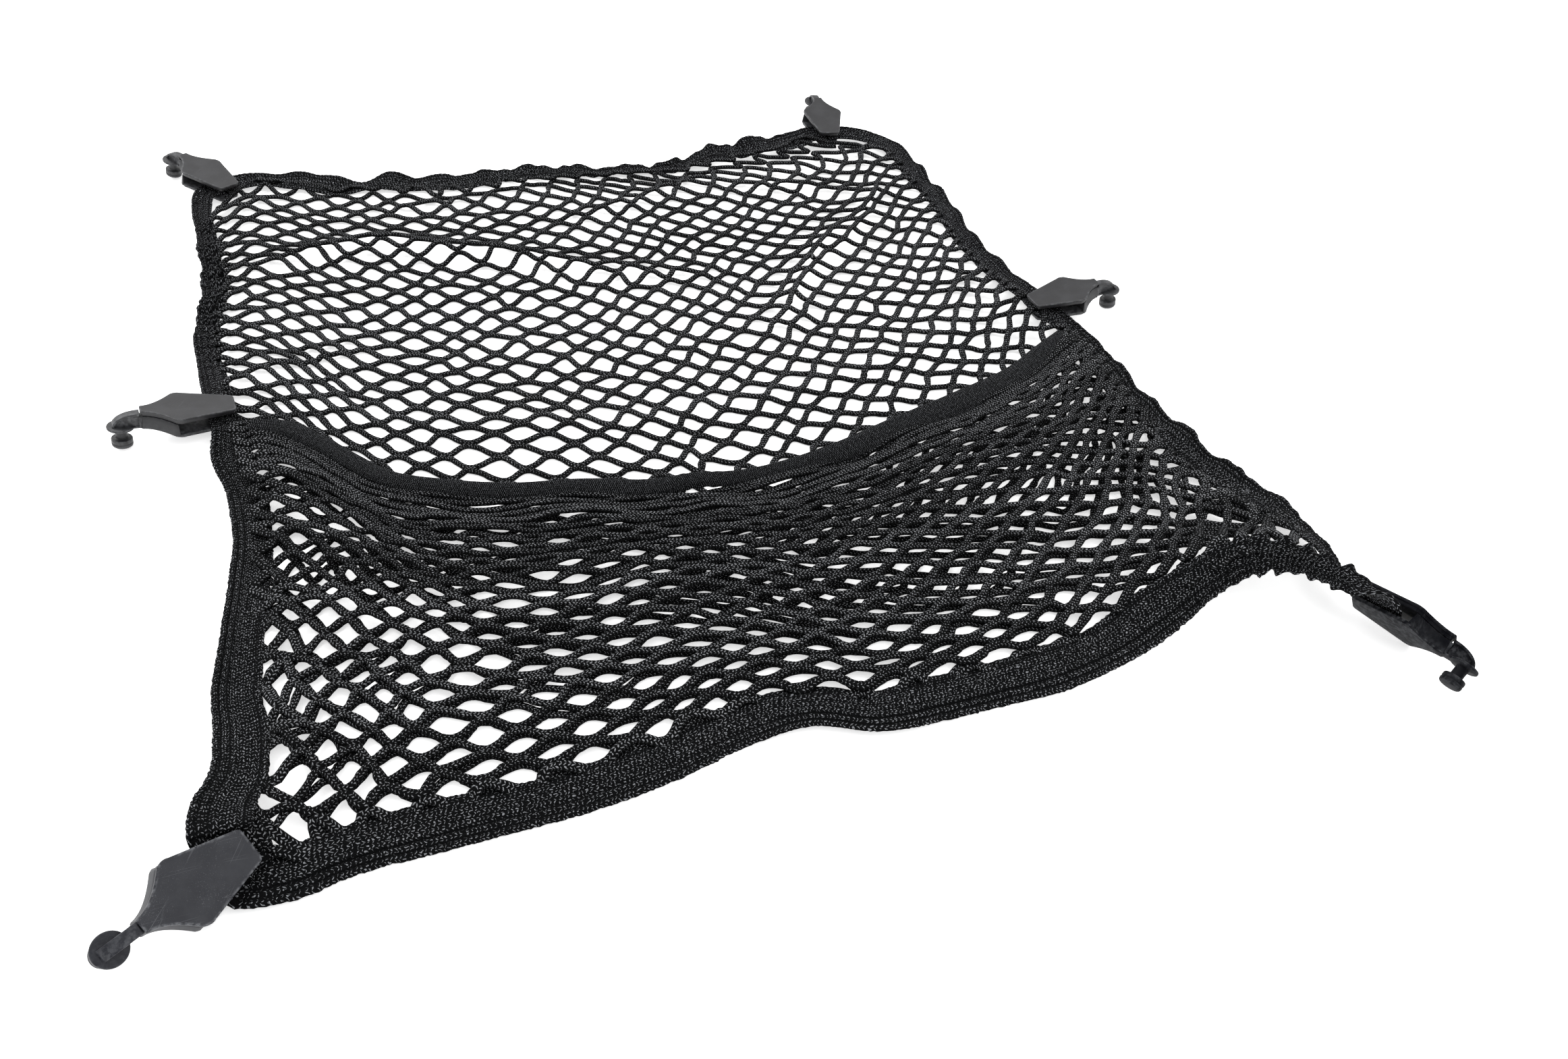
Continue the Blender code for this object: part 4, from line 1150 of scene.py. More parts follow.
def ribbon_piece(name, points, along, around, material):
    """Make a ribbon from its sections, as one closed tube with flat ends that stays over the floor."""
    points[..., 2] = np.maximum(points[..., 2], FLOOR_CLEARANCE)
    rings, sides = points.shape[:2]
    return make_piece(
        name, points.reshape(-1, 3), wrapped_quads(1, rings, sides), end_caps(1, rings, sides),
        tube_uv(around * MM, along[None, :] * MM), material)


def section_around(shares, half_width):
    """Distance round a ribbon's section, with the bottom run on past the top."""
    top = (shares + 1) * half_width
    low = shares[1:-1][::-1][::2]
    bottom = top[-1] + (1 - low) * half_width
    return np.concatenate([top, bottom, [top[-1] * 2]])


def edge_tape(side, frames, settings, rng):
    """A knitted tape, on its route, with wales along it, a beaded edge, a seam, puckers and lumps.

    The seam and the edge are bells over the distance from the outer edge.  The beads are a sine of the
    distance along.  Puckers, and the uneven frill of both edges, are a bent sine of that distance, and the
    left tape is gathered most on its inner side.  Lumps are smooth waves.
    """
    along, middle, across, cad_half, lift = tape_route(side, frames, TAPE_STEP)
    axis = 0 if side in ("back", "front") else 1
    lay = TapeRow(*np.array(TAPE_LAY[side]).T)
    width, drawn_in, puckers, swells = (
        evened(np.interp(middle[:, axis], lay.place, values), EVENED_STEPS)
        for values in (lay.width, lay.drawn_in, lay.pucker, lay.swell))
    half_width = width / 2
    middle = middle + across * (cad_half - half_width - drawn_in)[:, None]
    upright = upper_way(unit(np.gradient(middle, along, axis=0)), across)
    shares = np.linspace(-1, 1, TAPE_POINTS)
    place, share = np.meshgrid(along, shares, indexing="ij")
    free = away_from_ends(along, *PUCKER_ENDS)[:, None]
    rise = lift[:, None] * (0.35 + 0.5 * share + 0.15 * share**2)
    bend = waves(place, share * 9, rng, BEND_WAVES)
    length = PUCKER_LENGTH[side]
    pucker = puckers[:, None] * free * np.sin(tau * place / length + PUCKER_BEND * bend)
    gathered = 0.65 - 0.5 * share if side == "left" else 0.35 + 0.65 * share**2
    pucker = pucker * gathered * (1.6 + 0.8 * waves(place, share * 5, rng, PUCKER_WAVES))
    swell = free * swells[:, None] * waves(place, share * 8, rng, SWELL_WAVES)
    base = np.broadcast_to(middle[:, None, :], place.shape + (3,)).copy()
    base[..., 2] += rise + pucker + swell + np.abs(swell).max() * 0.3 * free
    wale = settings.wale_width / MM
    reach = (1 - share) * half_width[:, None]
    relief = WALE_HEIGHT * np.cos(tau * share * half_width[:, None] / wale) * (1 - share**6)
    relief = relief + raised_line(reach, TAPE_BEADS) * (0.6 + 0.4 * np.sin(tau * place / BEAD_LENGTH))
    for line in TAPE_LINES:
        relief = relief + raised_line(reach, line)
    relief = relief + TAPE_FUZZ * rng.standard_normal(place.shape)
    frill = puckers * away_from_ends(along, *FRILL_ENDS)
    frill = frill * np.sin(tau * along / length + PUCKER_BEND * bend[:, -1])
    frill = frill * np.clip(0.45 + 0.8 * waves(along, 0 * along, rng, FRILL_WAVES), 0, 1)
    edge = half_width * (1 + EDGE_SWELL * swells * free[:, 0] * waves(along, 0 * along, rng, EDGE_WAVES)
                         + FRILL_DEPTH[side] * frill + EDGE_FRAY * rng.standard_normal(len(along)))
    points = ribbon_points(base, across, upright, edge, TAPE_THICKNESS, shares, relief)
    piece = ribbon_piece(f"{side}_edge_tape", points, along, section_around(shares, TAPE_HALF_SECTION),
                         tape_material(settings))
    stand_in(piece, f"{side}_tape")


def mouth_elastic(settings, rng):
    """The elastic: ribs along its length, a rolled back edge, and small gathers where the net is sewn on."""
    along, back, toward, tangent = band_route(BAND_STEP)
    upright = upper_way(toward, tangent)
    width = settings.band_width / MM
    shares = np.linspace(-1, 1, BAND_POINTS)
    place, share = np.meshgrid(along, shares, indexing="ij")
    fade = away_from_ends(along, *BAND_ENDS)[:, None]
    wide = evened(np.interp(back[:, 0], *BAND_LAY), EVENED_STEPS)
    drawn = np.exp(-((back[:, 0] - BAND_BUMP[0]) / BAND_BUMP[1]) ** 2)[:, None]
    back = back + drawn * (0, 0, BUMP_RISE)
    middle = back + toward * (wide / 2)[:, None]
    sewn_side = np.clip(-share, 0, 1)
    bow = BAND_BOW * (1 - share**2) - BAND_ROLL * sewn_side**2 * fade
    bend = 1.4 * waves(place, share * 8, rng, GATHER_WAVES)
    gather = (0.3 + 0.6 * drawn) * np.sin(tau * place / BAND_GATHER_LENGTH + bend) * (
        0.25 + 0.75 * sewn_side + 0.6 * drawn)
    sway = BAND_SWAY * waves(place, share * 4, rng, SWAY_WAVES) * fade
    base = middle[:, None, :] + (bow + gather + sway)[..., None] * upright[:, None, :]
    rib = settings.rib_width / MM
    relief = RIB_HEIGHT * np.cos(tau * (share + 1) * width / 2 / rib) * (1 - share**6)
    relief = relief + BAND_FUZZ * rng.standard_normal(place.shape)
    points = ribbon_points(base, -toward, upright, wide / 2, TAPE_THICKNESS, shares, relief)
    piece = ribbon_piece("mouth_elastic", points, along, section_around(shares, width / 2),
                         elastic_material(settings))
    stand_in(piece, "mouth_band")


# ---------------------------------------------------------------- clips

def curve_points(start, control, end, count):
    """Points on a curve that leaves start for control and comes from control to end."""
    t = np.linspace(0, 1, count)[:, None]
    start, control, end = (np.array(point, float) for point in (start, control, end))
    return (1 - t) ** 2 * start + 2 * t * (1 - t) * control + t**2 * end


def clip_outline(inset, far_end):
    """A clip's kite outline: a flared neck, round shoulders, a straight taper and a blunt end."""
    half_neck = CLIP_HALF_NECK - inset
    half_width = CLIP_HALF_WIDTH - inset
    half_end = CLIP_HALF_FAR_END - inset
    neck = curve_points((inset, half_neck - 0.9), (inset, half_neck), (inset + 0.9, half_neck + 0.02), 5)
    flare_end = (CLIP_SHOULDER - CORNER_ROUND - 1, half_width - 1.2)
    flare = curve_points((inset + 0.9, half_neck + 0.02), (8.0, half_neck + 0.8), flare_end, 22)
    shoulder = curve_points(flare_end, (CLIP_SHOULDER - inset / 2, half_width + 0.6),
                            (CLIP_SHOULDER + CORNER_ROUND, half_width - 0.6), 9)
    corner = curve_points((far_end - CORNER_ROUND, half_end + 0.55), (far_end, half_end),
                          (far_end, half_end - CORNER_ROUND), 9)
    half = np.vstack([neck, flare[1:], shoulder[1:], corner])
    return np.vstack([half, half[::-1] * (1, -1)])


def block_outline():
    """The outline of the solid block under the neck, cut straight across behind the shoulders."""
    outline = clip_outline(BODY_INSET, CLIP_LENGTH - BODY_INSET)
    half = outline[(outline[:, 0] < NECK_BLOCK_END) & (outline[:, 1] > 0)]
    half = np.vstack([half, [(NECK_BLOCK_END, half[-1, 1])]])
    return np.vstack([half, half[::-1] * (1, -1)])


def rectangle(x_low, x_high, half_width):
    """A rectangle on the clip's middle, with four points on each side."""
    share = np.linspace(0, 1, 5)[:-1, None]
    corners = np.array([(x_low, -half_width), (x_high, -half_width), (x_high, half_width),
                        (x_low, half_width)], float)
    return np.vstack([corners[i] * (1 - share) + corners[(i + 1) % 4] * share for i in range(4)])


def inset_outline(outline, distance):
    """An outline drawn in by a distance along the mean of the normals of both neighbouring edges."""
    edge = np.roll(outline, -1, axis=0) - outline
    normal = unit(np.column_stack([edge[:, 1], -edge[:, 0]]))
    mean = unit(normal + np.roll(normal, 1, axis=0))
    area = np.sum(outline[:, 0] * np.roll(outline[:, 1], -1) - np.roll(outline[:, 0], -1) * outline[:, 1])
    return outline - mean * distance * np.sign(area)


def stacked_shell(outline, levels):
    """A closed shell: the outline drawn in by each level's inset at its height, with flat ends.

    Returns its points, quads, end faces, and a value that is 1 on the levels marked as an edge.
    """
    rings = np.stack([np.column_stack([inset_outline(outline, inset), np.full(len(outline), height)])
                      for inset, height, _ in levels])
    wear = np.repeat([mark for _, _, mark in levels], len(outline)).astype(float)
    count = len(outline)
    return rings.reshape(-1, 3), wrapped_quads(1, len(levels), count), end_caps(1, len(levels), count), wear


def rounded_levels(low, high, round_by):
    """Levels of a plain rounded slab: quarter circles of the given radius at its foot and its top."""
    angle = np.radians([90, 60, 30, 0])
    foot = [(round_by * (1 - cos(a)), low + round_by * (1 - sin(a)), 0.6) for a in angle]
    top = [(round_by * (1 - cos(a)), high - round_by * (1 - sin(a)), 1.0) for a in angle[::-1]]
    return foot + top


def turned_shell(profile, sides):
    """A closed shell turned about Z: each profile point (radius, height, wear) as a ring, with flat ends."""
    angle = np.arange(sides) / sides * tau
    radius, height, wear = (np.array(column, float) for column in zip(*profile))
    rings = np.stack([radius[:, None] * np.cos(angle), radius[:, None] * np.sin(angle),
                      np.broadcast_to(height[:, None], (len(radius), sides))], axis=-1)
    return (rings.reshape(-1, 3), wrapped_quads(1, len(profile), sides),
            end_caps(1, len(profile), sides), np.repeat(wear, sides))


def standing(shell):
    """A shell whose outline lies in X and Y turned so that it stands in X and Z."""
    points, quads, caps, wear = shell
    return points[:, [0, 2, 1]] * (1, -1, 1), quads, caps, wear


def moved(shell, offset):
    """A shell moved by an offset."""
    return (shell[0] + offset, *shell[1:])


def arch_curve(shrink, count=22):
    """Side view of the arch: level at the neck, then an ellipse round and down to the disc."""
    foot = DISC_TOP + 0.4
    angle = np.linspace(0, pi / 2, count)
    bow = np.column_stack([-(ARCH_END - shrink) * np.sin(angle),
                           (foot - ARCH_TOP - shrink) * np.cos(angle) - foot])
    return np.vstack([[(-LID_GAP, bow[0, 1])], bow[1:]])


def lid_shells(round_by):
    """The lid: a rim plate with rounded edges over a step that is drawn in, with a groove between."""
    levels = [(1.5, -3.6, 0), (1.2, -3.45, 0.3), (1.0, -3.1, 0), (1.0, -2.05, 0), (0.9, -1.85, 0),
              (0.42, -1.75, 0), (0.12, -1.55, 0.3), (0.0, -1.25, 0), (0.0, -round_by, 0.4)]
    angle = np.radians([22, 45, 68, 90])
    levels += [(round_by * (1 - cos(a)), -round_by * (1 - sin(a)), 1.0) for a in angle]
    levels += [(round_by + 0.35, -0.03, 0.5), (round_by + 0.8, -0.06, 0)]
    return [stacked_shell(clip_outline(0.0, CLIP_LENGTH), levels)]


def body_shells(round_by):
    """The lower moulding: floor plate, neck block, post, tongue, arched strap, web, disc, pin and knob."""
    small = min(round_by, 0.4)
    floor_outline = clip_outline(BODY_INSET, CLIP_LENGTH - BODY_INSET)
    disc_low = -DISC_TOP - DISC_HEIGHT
    outer, inner = arch_curve(0.0), arch_curve(1.5)
    strap = np.vstack([outer, inner[::-1]])
    filled = arch_curve(0.75)
    web = np.vstack([filled, [(filled[-1, 0], filled[-1, 1] - 0.5), (-LID_GAP, filled[-1, 1] - 0.5)]])
    stud = ((6.7, -DISC_TOP, 0.3), (7.0, -DISC_TOP - 0.12, 1), (7.18, -DISC_TOP - 0.45, 1),
            (7.2, -DISC_TOP - 0.8, 0.3), (7.15, disc_low + 0.3, 0.6), (6.7, disc_low, 0.4),
            (3.6, disc_low - 0.02, 0), (3.15, disc_low - 0.4, 0), (3.1, -17.2, 0), (3.5, -17.6, 0),
            (4.3, -17.8, 0.2), (5.0, -17.8, 0.3), (5.4, -17.95, 1), (5.6, -18.4, 0.6), (5.6, -19.95, 0.2),
            (5.35, -20.25, 0), (5.35, -20.5, 0), (5.6, -20.8, 0.4), (5.6, -21.6, 0.3), (5.4, -22.4, 0.7),
            (4.9, -22.85, 0.6), (4.4, -23.0, 0.2))
    draft = [(-0.35, -11.6, 0.3), (-0.65, -11.3, 1), (-0.6, -10.8, 0.3), (-0.1, -6.0, 0), (0.15, -4.3, 0),
             (0.35, -4.0, 0.8), (0.6, -LID_HEIGHT - LID_GAP, 0.4)]
    return [
        stacked_shell(floor_outline, rounded_levels(-CLIP_HEIGHT, -CLIP_HEIGHT + FLOOR_PLATE_HEIGHT, small)),
        stacked_shell(block_outline(), draft),
        stacked_shell(rectangle(-STUD_REACH, 4.0, 2.6), rounded_levels(-11.4, -DISC_TOP - LID_GAP, 0.2)),
        stacked_shell(rectangle(-0.9, 3.6, 2.7), rounded_levels(-11.1, -LID_HEIGHT - 2 * LID_GAP, 0.2)),
        standing(stacked_shell(strap, rounded_levels(-2.75, 2.75, 0.3))),
        standing(stacked_shell(web, rounded_levels(-1.8, 1.8, 0.2))),
        moved(turned_shell(stud[::-1], 44), (-STUD_REACH, 0, 0)),
    ]


def clip_piece(name, shells, place, material):
    """Make one moulding of a clip at its place: its shells joined, with each turned to face outwards."""
    points, faces, wear, count = [], [], [], 0
    for shell_points, quads, caps, shell_wear in shells:
        points.append(shell_points)
        faces += (quads + count).tolist() + (caps + count).tolist()
        wear.append(shell_wear)
        count += len(shell_points)
    turned = np.vstack(points) @ np.array(place.to_3x3()).T + np.array(place.translation)
    mesh = bpy.data.meshes.new(name)
    mesh.from_pydata(((turned - ORIGIN) * MM).tolist(), [], faces)
    keep_values(mesh, "edge", np.concatenate(wear))
    work = bmesh.new()
    work.from_mesh(mesh)
    bmesh.ops.recalc_face_normals(work, faces=work.faces)
    work.to_mesh(mesh)
    work.free()
    mesh.shade_smooth()
    mesh.set_sharp_from_angle(angle=radians(42))
    return add_object(name, mesh, material)


# ---------------------------------------------------------------- materials

def node(tree, kind, **settings):
    """Add a node with the given settings to a tree."""
    made = tree.nodes.new(kind)
    for label, value in settings.items():
        setattr(made, label, value)
    return made


def join(tree, value, socket):
    """Put a number, a vector or another node's socket into a socket."""
    if isinstance(value, bpy.types.NodeSocket):
        tree.links.new(value, socket)
    else:
        socket.default_value = value


def calc(tree, operation, *values):
    """A Math node on numbers or sockets, as its output."""
    made = node(tree, "ShaderNodeMath", operation=operation)
    for value, socket in zip(values, made.inputs):
        join(tree, value, socket)
    return made.outputs[0]


def ramp(tree, value, low, high, to_low=0.0, to_high=1.0):
    """A smooth Map Range node, as its output."""
    made = node(tree, "ShaderNodeMapRange", interpolation_type="SMOOTHSTEP")
    for number, socket in zip((value, low, high, to_low, to_high), made.inputs):
        join(tree, number, socket)
    return made.outputs[0]


def about_half(tree, value, amount, base):
    """A base plus an amount of how far a value is over a half, as a node's output."""
    return calc(tree, "MULTIPLY_ADD", calc(tree, "SUBTRACT", value, 0.5), amount, base)


def split_up(tree, vector):
    """A Separate XYZ node, as its outputs."""
    made = node(tree, "ShaderNodeSeparateXYZ")
    join(tree, vector, made.inputs[0])
    return made.outputs


def mixed(tree, share, first, second):
    """A Mix node from the first colour to the second, as its output."""
    made = node(tree, "ShaderNodeMix", data_type="RGBA")
    for value, label in ((share, "Factor"), (first, "A"), (second, "B")):
        join(tree, value, made.inputs[label])
    return made.outputs["Result"]


def noise(tree, vector, scale, detail=2.0, roughness=0.5, output="Fac"):
    """A Noise Texture node, as its value or colour output."""
    made = node(tree, "ShaderNodeTexNoise")
    join(tree, vector, made.inputs["Vector"])
    join(tree, scale, made.inputs["Scale"])
    made.inputs["Detail"].default_value = detail
    made.inputs["Roughness"].default_value = roughness
    return made.outputs[output]


def new_group(name, inputs, outputs):
    """Start a node group with named inputs and outputs."""
    tree = bpy.data.node_groups.new(name, "ShaderNodeTree")
    for label, kind, value in inputs:
        socket = tree.interface.new_socket(label, in_out="INPUT", socket_type=kind)
        if value is not None:
            socket.default_value = value
    for label, kind in outputs:
        tree.interface.new_socket(label, in_out="OUTPUT", socket_type=kind)
    return tree, tree.nodes.new("NodeGroupInput"), tree.nodes.new("NodeGroupOutput")


def stitch_group():
    """Knit stitches: rows of V stitches in the piece's own places, in metres.

    In a wale, with w its place across and c its place along in stitches, a leg's slant is
    c + 1.2 |w - 0.5|, and the height is a raised cosine of the slant, to the power 1.6, times the sine of
    the wale, twice over.  Noise bends the places first, and each wale is staggered against the last.
    Painted highlights sit on the tops of stitches, more where a noise is high, times the highlight share.
    """
    if "Knit Stitches" in bpy.data.node_groups:
        return bpy.data.node_groups["Knit Stitches"]
    tree, given, result = new_group(
        "Knit Stitches",
        [("Places", "NodeSocketVector", None), ("Wale", "NodeSocketFloat", 0.002),
         ("Course", "NodeSocketFloat", 0.0014), ("Wobble", "NodeSocketFloat", 0.3),
         ("Dull", "NodeSocketColor", (0.01, 0.01, 0.01, 1)),
         ("Bright", "NodeSocketColor", (0.1, 0.1, 0.1, 1)),
         ("Amount", "NodeSocketFloat", 0.5), ("Shade", "NodeSocketFloat", 0.5),
         ("Stagger", "NodeSocketFloat", 0.0), ("Highlight Share", "NodeSocketFloat", 1.0)],
        [("Color", "NodeSocketColor"), ("Height", "NodeSocketFloat"), ("Roughness", "NodeSocketFloat")])
    places = given.outputs["Places"]
    split = split_up(tree, places)
    bend = split_up(tree, noise(tree, places, 420.0, output="Color"))
    wobble = given.outputs["Wobble"]
    across = calc(tree, "DIVIDE", split[0], given.outputs["Wale"])
    across = about_half(tree, bend[0], wobble, across)
    along = calc(tree, "DIVIDE", split[1], given.outputs["Course"])
    along = about_half(tree, bend[1], calc(tree, "MULTIPLY", wobble, 2.4), along)
    along = calc(tree, "MULTIPLY_ADD", calc(tree, "FLOOR", across), given.outputs["Stagger"], along)
    place = calc(tree, "FRACT", across)
    leg = calc(tree, "ABSOLUTE", calc(tree, "SUBTRACT", place, 0.5))
    slant = calc(tree, "MULTIPLY_ADD", leg, 1.2, along)
    course = calc(tree, "MULTIPLY_ADD", calc(tree, "COSINE", calc(tree, "MULTIPLY", slant, tau)), 0.5, 0.5)
    course = calc(tree, "POWER", course, 1.6)
    dome = calc(tree, "ABSOLUTE", calc(tree, "SINE", calc(tree, "MULTIPLY", place, tau)))
    dome = calc(tree, "POWER", dome, 0.6)
    stitch = calc(tree, "MULTIPLY", course, dome)
    fuzz = noise(tree, places, 2600.0, 2.0, 0.6)
    height = about_half(tree, fuzz, 0.5, stitch)
    patch = noise(tree, places, 700.0, 1.0)
    bias = calc(tree, "MULTIPLY_ADD", given.outputs["Amount"], -0.6, 0.90)
    bias = about_half(tree, given.outputs["Shade"], -0.26, bias)
    # Painted highlight: where the top of a stitch catches the light, the highlight colour is mixed in.
    painted_highlight = about_half(tree, patch, 0.75, height)
    painted_highlight = ramp(tree, painted_highlight, bias, calc(tree, "ADD", bias, 0.38))
    # The highlight share keeps the painted highlights off a cord's shaded sides and off a tape's sewn lines.
    painted_highlight = calc(tree, "MULTIPLY", painted_highlight, given.outputs["Highlight Share"])
    colour = mixed(tree, painted_highlight, given.outputs["Dull"], given.outputs["Bright"])
    join(tree, colour, result.inputs["Color"])
    join(tree, height, result.inputs["Height"])
    join(tree, calc(tree, "MULTIPLY_ADD", painted_highlight, -0.25, 0.82), result.inputs["Roughness"])
    return tree


def plastic_group():
    """Moulded plastic: fine grain, long thin scratches, dust and pale worn edges, in object places.

    Grain is fine noise.  A scratch is where a stretched noise crosses its middle within a narrow band,
    kept to patches.  Dust is the top of a coarse noise times a fine one.  Wear mixes in along the edge
    value, broken up by noise.
    """
    if "Moulded Plastic" in bpy.data.node_groups:
        return bpy.data.node_groups["Moulded Plastic"]
    tree, given, result = new_group(
        "Moulded Plastic",
        [("Places", "NodeSocketVector", None), ("Edge", "NodeSocketFloat", 0.0),
         ("Plastic", "NodeSocketColor", (0.05, 0.05, 0.05, 1)),
         ("Worn", "NodeSocketColor", (0.2, 0.2, 0.2, 1)),
         ("Scratches", "NodeSocketFloat", 0.5), ("Wear", "NodeSocketFloat", 0.5)],
        [("Color", "NodeSocketColor"), ("Height", "NodeSocketFloat"), ("Roughness", "NodeSocketFloat")])
    places = given.outputs["Places"]
    grain = noise(tree, places, 3200.0, 2.0, 0.6)
    cloud = noise(tree, places, 90.0, 3.0, 0.55)
    marks = None
    for turn, scale in ((1.0, (1 / 9, 1 / 330, 1 / 30)), (0.25, (1 / 16, 1 / 420, 1 / 30))):
        stretch = node(tree, "ShaderNodeMapping", vector_type="TEXTURE")
        join(tree, places, stretch.inputs["Vector"])
        stretch.inputs["Rotation"].default_value = (0.0, 0.0, turn)
        stretch.inputs["Scale"].default_value = scale
        line = noise(tree, stretch.outputs[0], 1.0, 1.0)
        line = calc(tree, "ABSOLUTE", calc(tree, "SUBTRACT", line, 0.5))
        line = ramp(tree, line, 0.002, 0.009, 1.0, 0.0)
        marks = line if marks is None else calc(tree, "MAXIMUM", marks, line)
    where = ramp(tree, noise(tree, places, 70.0, 2.0), 0.50, 0.66)
    marks = calc(tree, "MULTIPLY", calc(tree, "MULTIPLY", marks, where), given.outputs["Scratches"])
    dust = calc(tree, "MULTIPLY", ramp(tree, noise(tree, places, 2100.0, 2.0, 0.7), 0.60, 0.70),
                ramp(tree, noise(tree, places, 60.0, 2.0), 0.35, 0.7))
    dust = calc(tree, "MULTIPLY", dust, given.outputs["Scratches"])
    worn = calc(tree, "MULTIPLY", given.outputs["Edge"],
                ramp(tree, noise(tree, places, 420.0, 3.0, 0.6), 0.38, 0.68))
    worn = calc(tree, "MULTIPLY", worn, given.outputs["Wear"])
    shade = calc(tree, "MULTIPLY_ADD", dust, 0.34, calc(tree, "MULTIPLY", worn, 0.5))
    shade = calc(tree, "MULTIPLY_ADD", marks, 0.30, shade)
    shade = calc(tree, "MULTIPLY_ADD", ramp(tree, cloud, 0.35, 0.75), 0.04, shade)
    colour = mixed(tree, shade, given.outputs["Plastic"], given.outputs["Worn"])
    join(tree, colour, result.inputs["Color"])
    height = calc(tree, "MULTIPLY_ADD", marks, -0.6, grain)
    join(tree, height, result.inputs["Height"])
    rough = calc(tree, "MULTIPLY_ADD", cloud, 0.14, calc(tree, "MULTIPLY_ADD", worn, -0.12, 0.42))
    join(tree, rough, result.inputs["Roughness"])
    return tree


def new_material(name):
    """Start a node material, as its tree and its Principled shader."""
    material = bpy.data.materials.new(name)
    material.use_nodes = True
    tree = material.node_tree
    return material, tree, tree.nodes["Principled BSDF"]


def use_group(tree, group, values):
    """Place a node group in a material with its own values."""
    placed = node(tree, "ShaderNodeGroup", node_tree=group)
    for label, value in values.items():
        join(tree, value, placed.inputs[label])
    return placed


def feed_shader(tree, shader, placed, distance, strength):
    """Lead a group's colour, roughness and bump to the shader."""
    bump = node(tree, "ShaderNodeBump")
    bump.inputs["Distance"].default_value = distance
    bump.inputs["Strength"].default_value = strength
    join(tree, placed.outputs["Height"], bump.inputs["Height"])
    join(tree, placed.outputs["Color"], shader.inputs["Base Color"])
    join(tree, placed.outputs["Roughness"], shader.inputs["Roughness"])
    join(tree, bump.outputs["Normal"], shader.inputs["Normal"])


def yarn_material(name, colour, painted_highlight, wale, course, amount, wobble, distance, stagger, girth=None):
    """Knitted synthetic yarn: stitches in the piece's own places, and a low sheen from loose fibres.

    With a girth, the painted highlights fade down the sides of a cord, by the cosine of the turn from its
    top, as painted shade on its sides.  On a tape they fade in the sewn lines, by the distance from each
    line.
    """
    if name in bpy.data.materials:
        return bpy.data.materials[name]
    material, tree, shader = new_material(name)
    places = node(tree, "ShaderNodeUVMap", uv_map="cloth").outputs["UV"]
    placed = use_group(tree, stitch_group(), {
        "Places": places, "Wale": wale, "Course": course, "Wobble": wobble, "Dull": (*colour, 1),
        "Bright": (*painted_highlight, 1), "Amount": amount, "Stagger": stagger})
    if girth:
        strand = node(tree, "ShaderNodeAttribute", attribute_name="strand")
        join(tree, strand.outputs["Fac"], placed.inputs["Shade"])
        # Painted light: the highlight share is 1 on a cord's top and falls to 0.04 down its sides, as if lit
        # from above.
        turn = calc(tree, "MULTIPLY_ADD", split_up(tree, places)[0], tau / girth, -pi / 2)
        join(tree, ramp(tree, calc(tree, "COSINE", turn), 0.1, 0.92, 0.04, 1.0), placed.inputs["Highlight Share"])
    elif name == "tape_yarn":
        across = split_up(tree, places)[0]
        lines = 1.0
        for line in SEWN_LINES:
            away = calc(tree, "ABSOLUTE", calc(tree, "SUBTRACT", across, line))
            lines = calc(tree, "MULTIPLY", lines, ramp(tree, away, 0.0002, 0.0009, 0.12, 1.0))
        join(tree, lines, placed.inputs["Highlight Share"])
    feed_shader(tree, shader, placed, distance, 0.9)
    shader.inputs["Specular IOR Level"].default_value = 0.06
    return material


def cord_material(settings):
    """Yarn of the nets: five wales round a cord, with painted shade on its sides."""
    return yarn_material("knitted_cord", settings.colour, settings.painted_highlight, cord_girth(settings) / 5, 0.0020,
                         0.68, 0.5, 0.0009, 0.4, cord_girth(settings))


def tape_material(settings):
    """Yarn of the edge tapes."""
    return yarn_material("tape_yarn", settings.colour, settings.painted_highlight, settings.wale_width, 0.0021,
                         0.55, 0.8, 0.0009, 0.36)


def elastic_material(settings):
    """Yarn over the elastic: close small stitches along fine ribs."""
    return yarn_material("elastic_yarn", settings.colour, settings.painted_highlight, settings.rib_width, 0.0011,
                         0.42, 0.35, 0.0004, 0.5)


def plastic_material(name, colour, scratches, wear, gloss=0.40):
    """Satin moulded plastic with grain, scratches, dust and worn edges."""
    if name in bpy.data.materials:
        return bpy.data.materials[name]
    material, tree, shader = new_material(name)
    places = node(tree, "ShaderNodeTexCoord").outputs["Object"]
    edge = node(tree, "ShaderNodeAttribute", attribute_name="edge")
    placed = use_group(tree, plastic_group(), {
        "Places": places, "Edge": edge.outputs["Fac"], "Plastic": (*colour, 1),
        "Worn": (0.30, 0.31, 0.33, 1), "Scratches": scratches, "Wear": wear})
    feed_shader(tree, shader, placed, 0.00006, 0.5)
    shader.inputs["Specular IOR Level"].default_value = gloss
    return material


def floor_material():
    """Plain pale floor: near white, with a little light of its own so that it stays white."""
    material, tree, shader = new_material("pale_floor")
    places = node(tree, "ShaderNodeTexCoord").outputs["Object"]
    tint = mixed(tree, noise(tree, places, 3.0), (0.93, 0.93, 0.93, 1), (0.95, 0.95, 0.95, 1))
    join(tree, tint, shader.inputs["Base Color"])
    for label, value in (("Roughness", 0.9), ("Specular IOR Level", 0.1),
                         ("Emission Color", (1, 1, 1, 1)), ("Emission Strength", 0.55)):
        shader.inputs[label].default_value = value
    return material


# ---------------------------------------------------------------- operators

